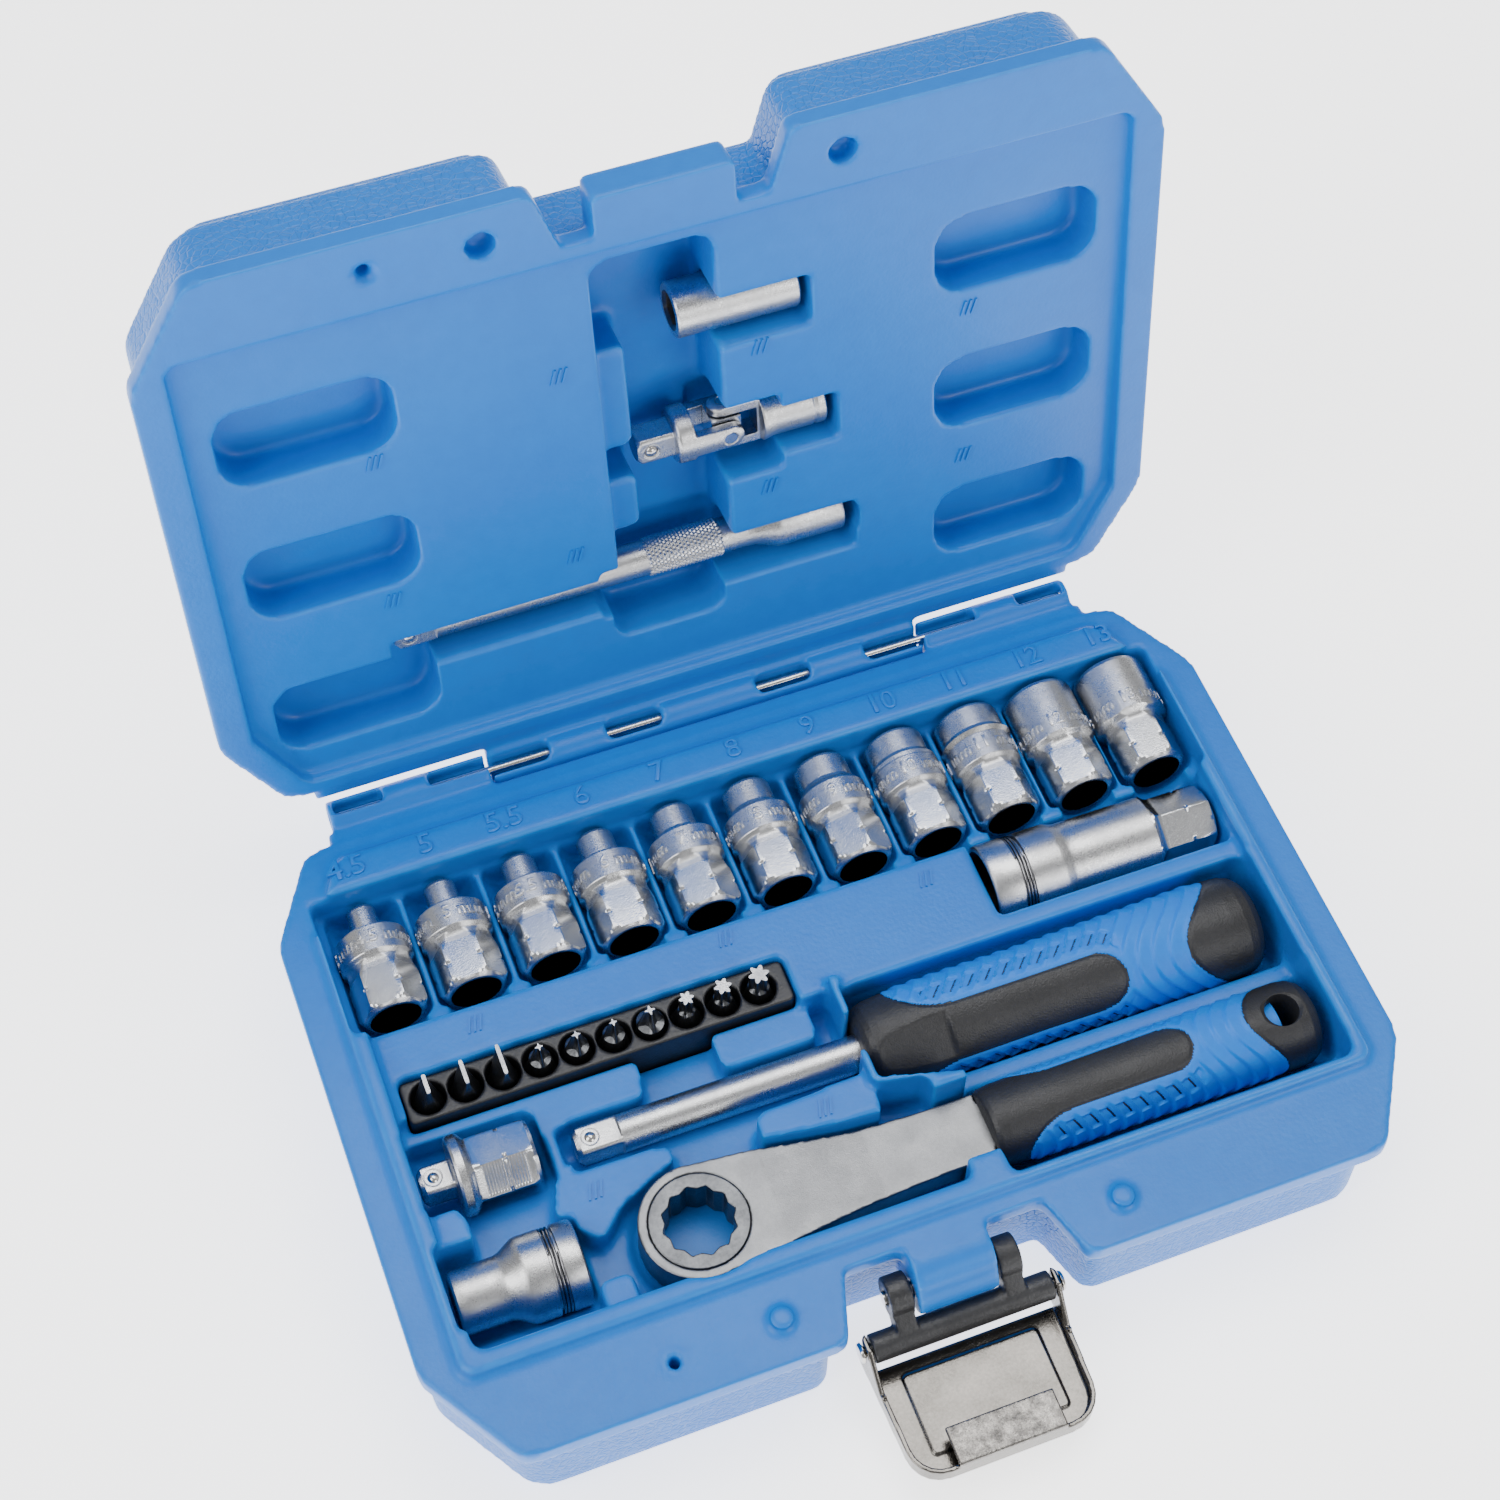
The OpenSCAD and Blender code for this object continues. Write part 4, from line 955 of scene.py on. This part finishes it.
axis = centre_of("long_adapter")
place = at_point(0, axis.y, BASE_H - 8)
rows = plain((40.6, 8.3), (40.65, 8.9), (40.9, 9.2), (41.4, 9.4), (46.8, 9.4), (47.0, 8.6), (49.4, 8.6),
             (49.6, 9.4), (56.6, 9.4), (57.2, 9.3), (58.6, 8.8), (59.4, 8.6), (60.6, 8.6), (78.6, 8.6))
turn = math.radians(27)
end_hex = ("flat", 6, HEX_ACROSS, turn)
for k in range(1, 10):
    x = 78.6 + 0.34 * k
    run_out = ("flat", 6, HEX_ACROSS + 0.066 * (9 - k) ** 2, turn)
    rows.append((x, 8.6 - 1.1 * smooth_share((x - 80.0) / 1.6), run_out))
rows += hex_rows(82.0, 92.1, 87.6, turn)
rows += [(92.8, 7.2, end_hex), (93.2, 6.3, end_hex), (93.2, 5.4, None), (92.7, 5.2, None), (56.0, 5.2, None),
         (55.9, 7.2, HEX_HOLE), (41.6, 7.2, HEX_HOLE), (40.6, 8.3, None)]
long_tool = turned("long_adapter_body", rows, place, [SATIN, GROUND, BORE], 180,
                   [(14, 36, 1), (len(rows) - 6, len(rows), 2)])
finish_piece(long_tool, "long_adapter_tool", "satin_chrome", "long_adapter")
three_wires("long_adapter_ring", "long_adapter_wire", "long_adapter_tool", 9.0, place, 48.2)

# %% Spinner shaft, extension bar and bit holder
axis = centre_of("spinner_shaft")
rows = drive_end(-61.0, -51.4, 4.0) + plain((-51.0, 4.0), (-2.0, 4.0), (29.8, 4.0))
spinner_bar = turned("spinner_bar", rows, at_point(0, axis.y, BASE_H - 9.2), [SATIN], 96)
finish_piece(spinner_bar, "spinner", "satin_chrome", "spinner_shaft")
spring_ball("spinner_ball", "spinner_spring_ball", "spinner")

rows = drive_end(-62.4, -53.4, 3.9) + plain(
    (-53.0, 3.9), (-6.0, 3.9), (-5.8, 4.05), (10.8, 4.05), (11.0, 3.9), (16.0, 3.85), (18.4, 4.0),
    (20.4, 4.6), (22.2, 5.4), (23.4, 5.75), (24.2, 5.8), (37.7, 5.8), (38.2, 5.6), (38.4, 5.2), (38.4, 4.9))
rows += [(38.0, 3.2, SQUARE_HOLE), (28.4, 3.2, SQUARE_HOLE), (28.2, 0.05, None)]
bar = turned("extension_rod", rows, lid_place(41), [SATIN, BORE], 120, [(len(rows) - 3, len(rows), 1)])
finish_piece(bar, "extension", "satin_chrome", "extension_bar")
spring_ball("extension_ball", "extension_spring_ball", "extension", OUT_OF_LID)

SHANK_HOLE = ("hole", 6, 6.5)
rows = plain((4.0, 5.2), (4.1, 5.6), (4.5, 5.9), (29.7, 5.9), (30.1, 5.6), (30.2, 5.2), (30.2, 4.9))
rows += [(29.8, 3.2, SQUARE_HOLE), (21.2, 3.2, SQUARE_HOLE), (21.0, 0.9, None), (17.0, 0.9, None),
         (16.9, 3.2, SHANK_HOLE), (4.6, 3.2, SHANK_HOLE), (4.0, 4.3, None), (4.0, 5.2, None)]
holder = turned("bit_holder_sleeve", rows, lid_place(-25), [SATIN, BORE], 120, [(7, 13, 1)])
finish_piece(holder, "holder", "satin_chrome", "bit_holder")


# %% [markdown]
# ## The knurl
# The extension bar has a knurled band so that fingers can spin it. A knurl is a rolled pattern of
# small pyramids, so one pyramid is instanced on a cylinder of points by Geometry Nodes.

# %% Knurl with Geometry Nodes
def knurl_tree():
    tree, inside, outside = node_tree("knurl", [
        ("Radius", "NodeSocketFloat", 0.0040), ("Band", "NodeSocketFloat", 0.0158),
        ("Around", "NodeSocketInt", 30), ("Along", "NodeSocketInt", 21),
        ("Tooth", "NodeSocketFloat", 0.00062), ("Material", "NodeSocketMaterial", None)])
    grid = add_node(tree, "GeometryNodeMeshGrid", Size_X=1, Size_Y=1)
    index = add_node(tree, "GeometryNodeInputIndex").outputs[0]
    position = add_node(tree, "GeometryNodeInputPosition")
    parts = add_node(tree, "ShaderNodeSeparateXYZ")

    def maths(kind, a, b=None):
        node = add_node(tree, "ShaderNodeMath", ("operation", kind))
        for socket, value in zip(node.inputs, (a, b)):
            if isinstance(value, (int, float)):
                socket.default_value = value
            elif value is not None:
                tree.links.new(value, socket)
        return node

    def out(node, name=0):
        return node.outputs[name]

    around = inside.outputs["Around"]
    column = maths("FLOOR", out(maths("DIVIDE", index, around)))
    odd = maths("MODULO", out(column), 2)
    place_in_row = maths("ADD", out(maths("MODULO", index, around)), out(maths("MULTIPLY", out(odd), 0.5)))
    angle = maths("MULTIPLY", out(maths("DIVIDE", out(place_in_row), around)), 2 * math.pi)
    along = maths("MULTIPLY", out(parts, "X"), inside.outputs["Band"])
    side = maths("MULTIPLY", out(maths("SINE", out(angle))), inside.outputs["Radius"])
    rise = maths("MULTIPLY", out(maths("COSINE", out(angle))), inside.outputs["Radius"])
    place = add_node(tree, "ShaderNodeCombineXYZ")
    wrap = add_node(tree, "GeometryNodeSetPosition")
    tooth = add_node(tree, "GeometryNodeMeshCone", Vertices=4, Radius_Top=0)
    tooth_height = maths("MULTIPLY", inside.outputs["Tooth"], 0.62)
    turn = add_node(tree, "ShaderNodeCombineXYZ")
    back = maths("MULTIPLY", out(angle), -1)
    set_teeth = add_node(tree, "GeometryNodeInstanceOnPoints")
    wire(tree, (position, 0, parts, 0), (inside, "Along", grid, "Vertices X"),
         (inside, "Around", grid, "Vertices Y"), (along, 0, place, "X"), (side, 0, place, "Y"),
         (rise, 0, place, "Z"), (grid, "Mesh", wrap, "Geometry"), (place, 0, wrap, "Position"),
         (inside, "Tooth", tooth, "Radius Bottom"), (tooth_height, 0, tooth, "Depth"), (back, 0, turn, "X"),
         (wrap, "Geometry", set_teeth, "Points"), (tooth, "Mesh", set_teeth, "Instance"),
         (turn, 0, set_teeth, "Rotation"))
    end_tree(tree, inside, outside, set_teeth)
    return tree


knurl = bake_nodes(points_mesh("extension_knurl", [(0, 0, 0)]), knurl_tree(), {"Material": SATIN}, [SATIN])
knurl.data.transform(lid_place(41) @ Matrix.Translation((2.5 * MM, 0, 0)))
knurl.data.flip_normals()
finish_piece(knurl, "extension", "satin_chrome")

# %% [markdown]
# ## The universal joint
# Two forks are forged and drilled, then pinned to a small block. Their shapes come from the exact
# model with slightly broken edges, and the block and pins stay as the exact model has them.

# %% Forks
for end in ("socket", "drive"):
    soft_piece("joint_" + end + "_yoke", "joint_" + end + "_fork", 0.2, 3, 0.8, SATIN,
               "joint_" + end + "_end", "satin_chrome", OPEN_LID)
spring_ball("joint_ball", "joint_spring_ball", "joint_drive_end", OUT_OF_LID)

# %% [markdown]
# ## The ring wrench
# The wrench is a forging: a flat satin arm with a ring head. Its outline comes from the exact
# model, and its edges are broken by softening. The ratchet ring keeps its exact teeth.

# %% Wrench body
soft_piece("wrench_body", "wrench_forging", 0.3, 3, 0.7, FORGED, "wrench", "satin_chrome")
soft_piece("ratchet_ring", "ratchet_gear", 0.2, 2, 0.5, BLACKENED, "ring", "black_steel")

# %% [markdown]
# ## The bits
# A bit is a short hex bar with a turned neck and a forged tip. The radius at each angle and
# height gives all three tips: a blade, a cross with four wings, and a star with six points.


# %% Bit tips
def bit_radius(kind, width, t):
    """Radius of the tip at share t of its height, for every angle."""
    def cut(angles, r):
        if kind == "slot":
            thick = 0.42 + (r - 0.42) * (1 - t) ** 1.5
            wide = r + (width / 2 - r) * t
            power = 2 + 6 * t
            across = (np.abs(np.cos(angles)) / thick) ** power
            return (across + (np.abs(np.sin(angles)) / wide) ** power) ** (-1 / power)
        if kind == "cross":
            reach = width / 2 * (1 - 0.62 * t)
            wing = np.abs(np.cos(2 * angles)) ** 5
            return np.minimum(r, reach * (0.48 + 0.52 * wing))
        return np.minimum(r, width / 2 * (0.80 + 0.20 * np.cos(6 * angles)))
    return cut


BITS = [("slot_1", 4.4), ("slot_2", 5.5), ("slot_3", 7.0), ("cross_1", 4.4), ("cross_2", 4.8),
        ("cross_3", 4.4), ("cross_4", 5.8), ("star_1", 3.2), ("star_2", 3.8), ("star_3", 4.4)]
SHANK = 16.4
SHANK_HEX = ("flat", 6, 6.3)
NECK_R = 2.9
for name, width in BITS:
    node = "bit_" + name
    kind = name.split("_")[0]
    low, high = size_of(node)
    middle = (low + high) / 2
    total = high.z - low.z
    rows = [(0.0, 2.8, SHANK_HEX), (0.6, 3.6, SHANK_HEX), (SHANK - 1.2, 3.6, SHANK_HEX),
            (SHANK - 0.4, 3.35, SHANK_HEX), (SHANK, NECK_R, SHANK_HEX)]
    if kind == "slot":
        tip = SHANK + 0.4
        neck = 2.95
    else:
        tip = 20.4
        neck = max(width / 2, 1.7)
        rows += plain(*((SHANK + (tip - SHANK) * k / 10, NECK_R + (neck - NECK_R) * k / 10)
                        for k in range(1, 10)))
    for k in range(17):
        t = k / 16
        start = neck if k < 2 or kind == "slot" else width / 2
        rows.append((tip + (total - tip) * t, start, bit_radius(kind, width, t)))
    worn = [(len(rows) - 2, len(rows), 1)]
    place = standing(middle.x, middle.y, low.z)
    piece = turned("screw_" + node, rows, place, [BLACKENED, WORN_TIP], 96, worn)
    finish_piece(piece, node + "_tool", "black_steel", node)

soft_piece("bit_strip", "bit_rack", 0.33, 4, 0.5, STRIP_BLACK, "strip", "black_plastic")

# %% [markdown]
# ## The handles
# Each handle is moulded twice: a hard black core first, then blue rubber over it. The rubber
# leaves a long black window on two sides, ends in a curved line, and is ribbed. Both skins are
# grids of distance along the handle and angle round it. Where the rubber is absent its skin dives
# just under the core, so the line between the two colours is the line where the surfaces cross.


# %% Handle shape
def smooth_step(v, a, b):
    t = np.clip((v - a) / (b - a), 0, 1)
    return t * t * (3 - 2 * t)


def handle_fields(x, turn, spec):
    """Distance into the rubber, distance from the window's edge and where the rubber ends, all in
    millimetres."""
    per_degree = math.radians(1) * spec["radius"]
    beside = 90 - spec["lobe"]
    away = np.abs((turn - spec["window"] + 90) % 180 - 90)
    front = np.clip((x - spec["front"]) / spec["taper"], 0, 1)
    half = spec["lobe"] * np.sqrt(1 - (1 - front) ** 2)
    past = x - (spec["window_end"] - spec["radius"] * math.radians(beside))
    side = per_degree * (away - beside)
    nose = np.hypot(np.maximum(past, 0), per_degree * away) - per_degree * beside
    edge = np.where(past > 0, nose, side)
    body = np.where(past > 0, nose, per_degree * (half - (90 - away)))
    sweep = 1 - np.cos(2 * np.radians(turn - spec["window"] + spec["skew"]))
    rim = spec["back"] + spec["sweep"] * sweep
    inside = np.minimum(np.minimum(body, rim - x), x - spec["front"])
    return inside, edge, rim


ABSENT = 2.2


def core_radius(x, turn, base, inside, spec):
    """The black core: a fine groove along the rubber's edge, and a flat for the thumb in the window."""
    r = base - 0.30 * np.exp(-(inside / 0.42) ** 2)
    r = np.where(inside > 0.5, np.minimum(r, base - 0.5), r)
    face = np.radians(turn - spec["window"])
    middle, half, depth = spec["thumb"]
    flat = depth / np.maximum(np.cos(face), 0.2)
    span = smooth_step(np.abs(x - middle), half + 0.5, half - 0.5)
    return np.where(np.cos(face) > 0.3, r + (np.minimum(r, flat) - r) * span, r)


def rubber_radius(x, base, inside, edge, rim, spec):
    """The blue rubber: saw-toothed ribs that lean with the rim, and a ladder of cells beside the window."""
    part = ((rim - x) / spec["pitch"] - 0.10 * np.minimum(edge, 8) / spec["pitch"]) % 1.0
    rib = np.where(part < 0.8, part / 0.8, (1 - part) / 0.2)
    fade = smooth_step(edge, 0.8, 2.6) * smooth_step(inside, 0.0, 1.6)
    r = base + 0.10 + spec["rib"] * (rib - 0.55) * fade
    cell = smooth_step(part, 0.16, 0.24) * smooth_step(part, 0.82, 0.74)
    strip = smooth_step(edge, 2.2, 2.6) * smooth_step(edge, 6.2, 5.8)
    starts = smooth_step(x, spec["front"] + 5, spec["front"] + 7)
    here = starts * smooth_step(x, spec["window_end"] + 1, spec["window_end"] - 1)
    r = r - 0.55 * cell * strip * here
    r = np.where(inside > 0, r, base - ABSENT)
    return r - 0.25 * np.exp(-(np.maximum(inside, 0) / 0.5) ** 2)


def handle_skin(name, spec, place, kind, material):
    along, radii = zip(*spec["profile"])
    xs = np.unique(np.concatenate([np.arange(along[0], along[-1], 0.33), along]))
    if kind == "rubber":
        xs = xs[(xs > spec["front"] - 0.4) & (xs < spec["back"] + 2 * spec["sweep"] + 0.6)]
    around = 216
    x, turn = np.meshgrid(xs, np.arange(around) * 360.0 / around, indexing="ij")
    base = np.interp(x, along, radii)
    inside, edge, rim = handle_fields(x, turn, spec)
    if kind == "core":
        r = core_radius(x, turn, base, inside, spec)
    else:
        r = rubber_radius(x, base, inside, edge, rim, spec)
        ends = (x < xs[0] + 0.01) | (x > xs[-1] - 0.01)
        r = np.where(ends, base - ABSENT, r)
    a = np.radians(turn)
    at = np.stack([x, -r * np.sin(a), r * np.cos(a)], axis=-1).reshape(-1, 3) * MM
    return tube(name, at, around, place, [material], 50)


# %% Spinner handle
# Angles are in degrees and lengths in millimetres; thumb is where the flat's middle lies, half its length
# and its distance from the axis, and profile is the distance along the handle and its radius there
SPINNER = {
    "radius": 10.8, "window": 38.5, "lobe": 55, "front": 9.0, "taper": 13.0, "window_end": 58.6, "back": 73.0,
    "sweep": 5.0, "skew": 4.5, "pitch": 3.9, "rib": 0.6, "thumb": (11.4, 7.6, 9.3),
    "profile": [(1.0, 6.6), (1.3, 7.6), (2.0, 8.6), (3.2, 9.4), (5.0, 9.9), (9, 10.25), (14, 10.5),
                (22, 10.6), (40, 10.45), (58, 10.75), (70, 11.0), (79, 11.2), (84, 11.15), (87, 10.9),
                (89, 10.2), (90.2, 9.2), (91.0, 8.0), (91.2, 6.8)]}
axis = centre_of("spinner_core")
place = at_point(0, axis.y, BASE_H - 9.2)
finish_piece(handle_skin("spinner_handle_core", SPINNER, place, "core", HANDLE_BLACK), "spinner",
             "black_plastic", "spinner_core")
finish_piece(handle_skin("spinner_handle_rubber", SPINNER, place, "rubber", RUBBER), "spinner",
             "blue_rubber", "spinner_grip")

# %% Wrench handle
WRENCH = {
    "radius": 9.2, "window": -2.0, "lobe": 55, "front": 24.8, "taper": 11.0, "window_end": 63.8, "back": 76.4,
    "sweep": 3.4, "skew": 0.0, "pitch": 3.7, "rib": 0.55, "thumb": (-40, 1, 9),
    "profile": [(18.4, 7.3), (18.7, 7.9), (19.4, 8.3), (22, 8.6), (30, 8.8), (50, 8.9), (66, 9.05), (80, 9.2),
                (87, 9.3), (89.6, 8.9), (91.2, 8.0), (92.0, 6.9), (92.2, 6.0)]}
axis = centre_of("wrench_core")
place = at_point(0, axis.y, BASE_H - 8)
core = handle_skin("wrench_handle_core", WRENCH, place, "core", HANDLE_BLACK)
hole_rows = plain((-14, 5.5), (-9.0, 4.6), (-8.4, 3.7), (-7.6, 3.5), (7.6, 3.5), (8.4, 3.7), (9.0, 4.6),
                  (14, 5.5))
drill = turned("drill", hole_rows, standing(84.6, axis.y, BASE_H - 8), [HANDLE_BLACK], 48)
cut = core.modifiers.new("hang_hole", "BOOLEAN")
cut.operation = "DIFFERENCE"
cut.solver = "EXACT"
cut.object = drill
drilled = evaluated_mesh(core)
core.modifiers.remove(cut)
core.data = drilled
shade_by_angle(drilled, 40)
bpy.data.objects.remove(drill)
finish_piece(core, "wrench", "black_plastic", "wrench_core")
finish_piece(handle_skin("wrench_handle_rubber", WRENCH, place, "rubber", RUBBER), "wrench",
             "blue_rubber", "wrench_grip")

# %% [markdown]
# ## Small parts that keep their exact shape
# Pins, the pawl, its spring, the cross block and the magnet are already right, and mostly hidden.
# They only need the finish of the metal they are made of.

# %% Finishes for the exact nodes
exact_nodes = {"latch_pin": BRIGHT, "joint_cross": GROUND, "joint_pins": GROUND, "ratchet_pawl": GROUND,
               "pawl_spring": BRIGHT, "bit_holder_magnet": BLACKENED}
for node, material in exact_nodes.items():
    data = frame["nodes"][node].data
    data.materials.clear()
    data.materials.append(material)

# %% Hand over
bpy.context.view_layer.update()
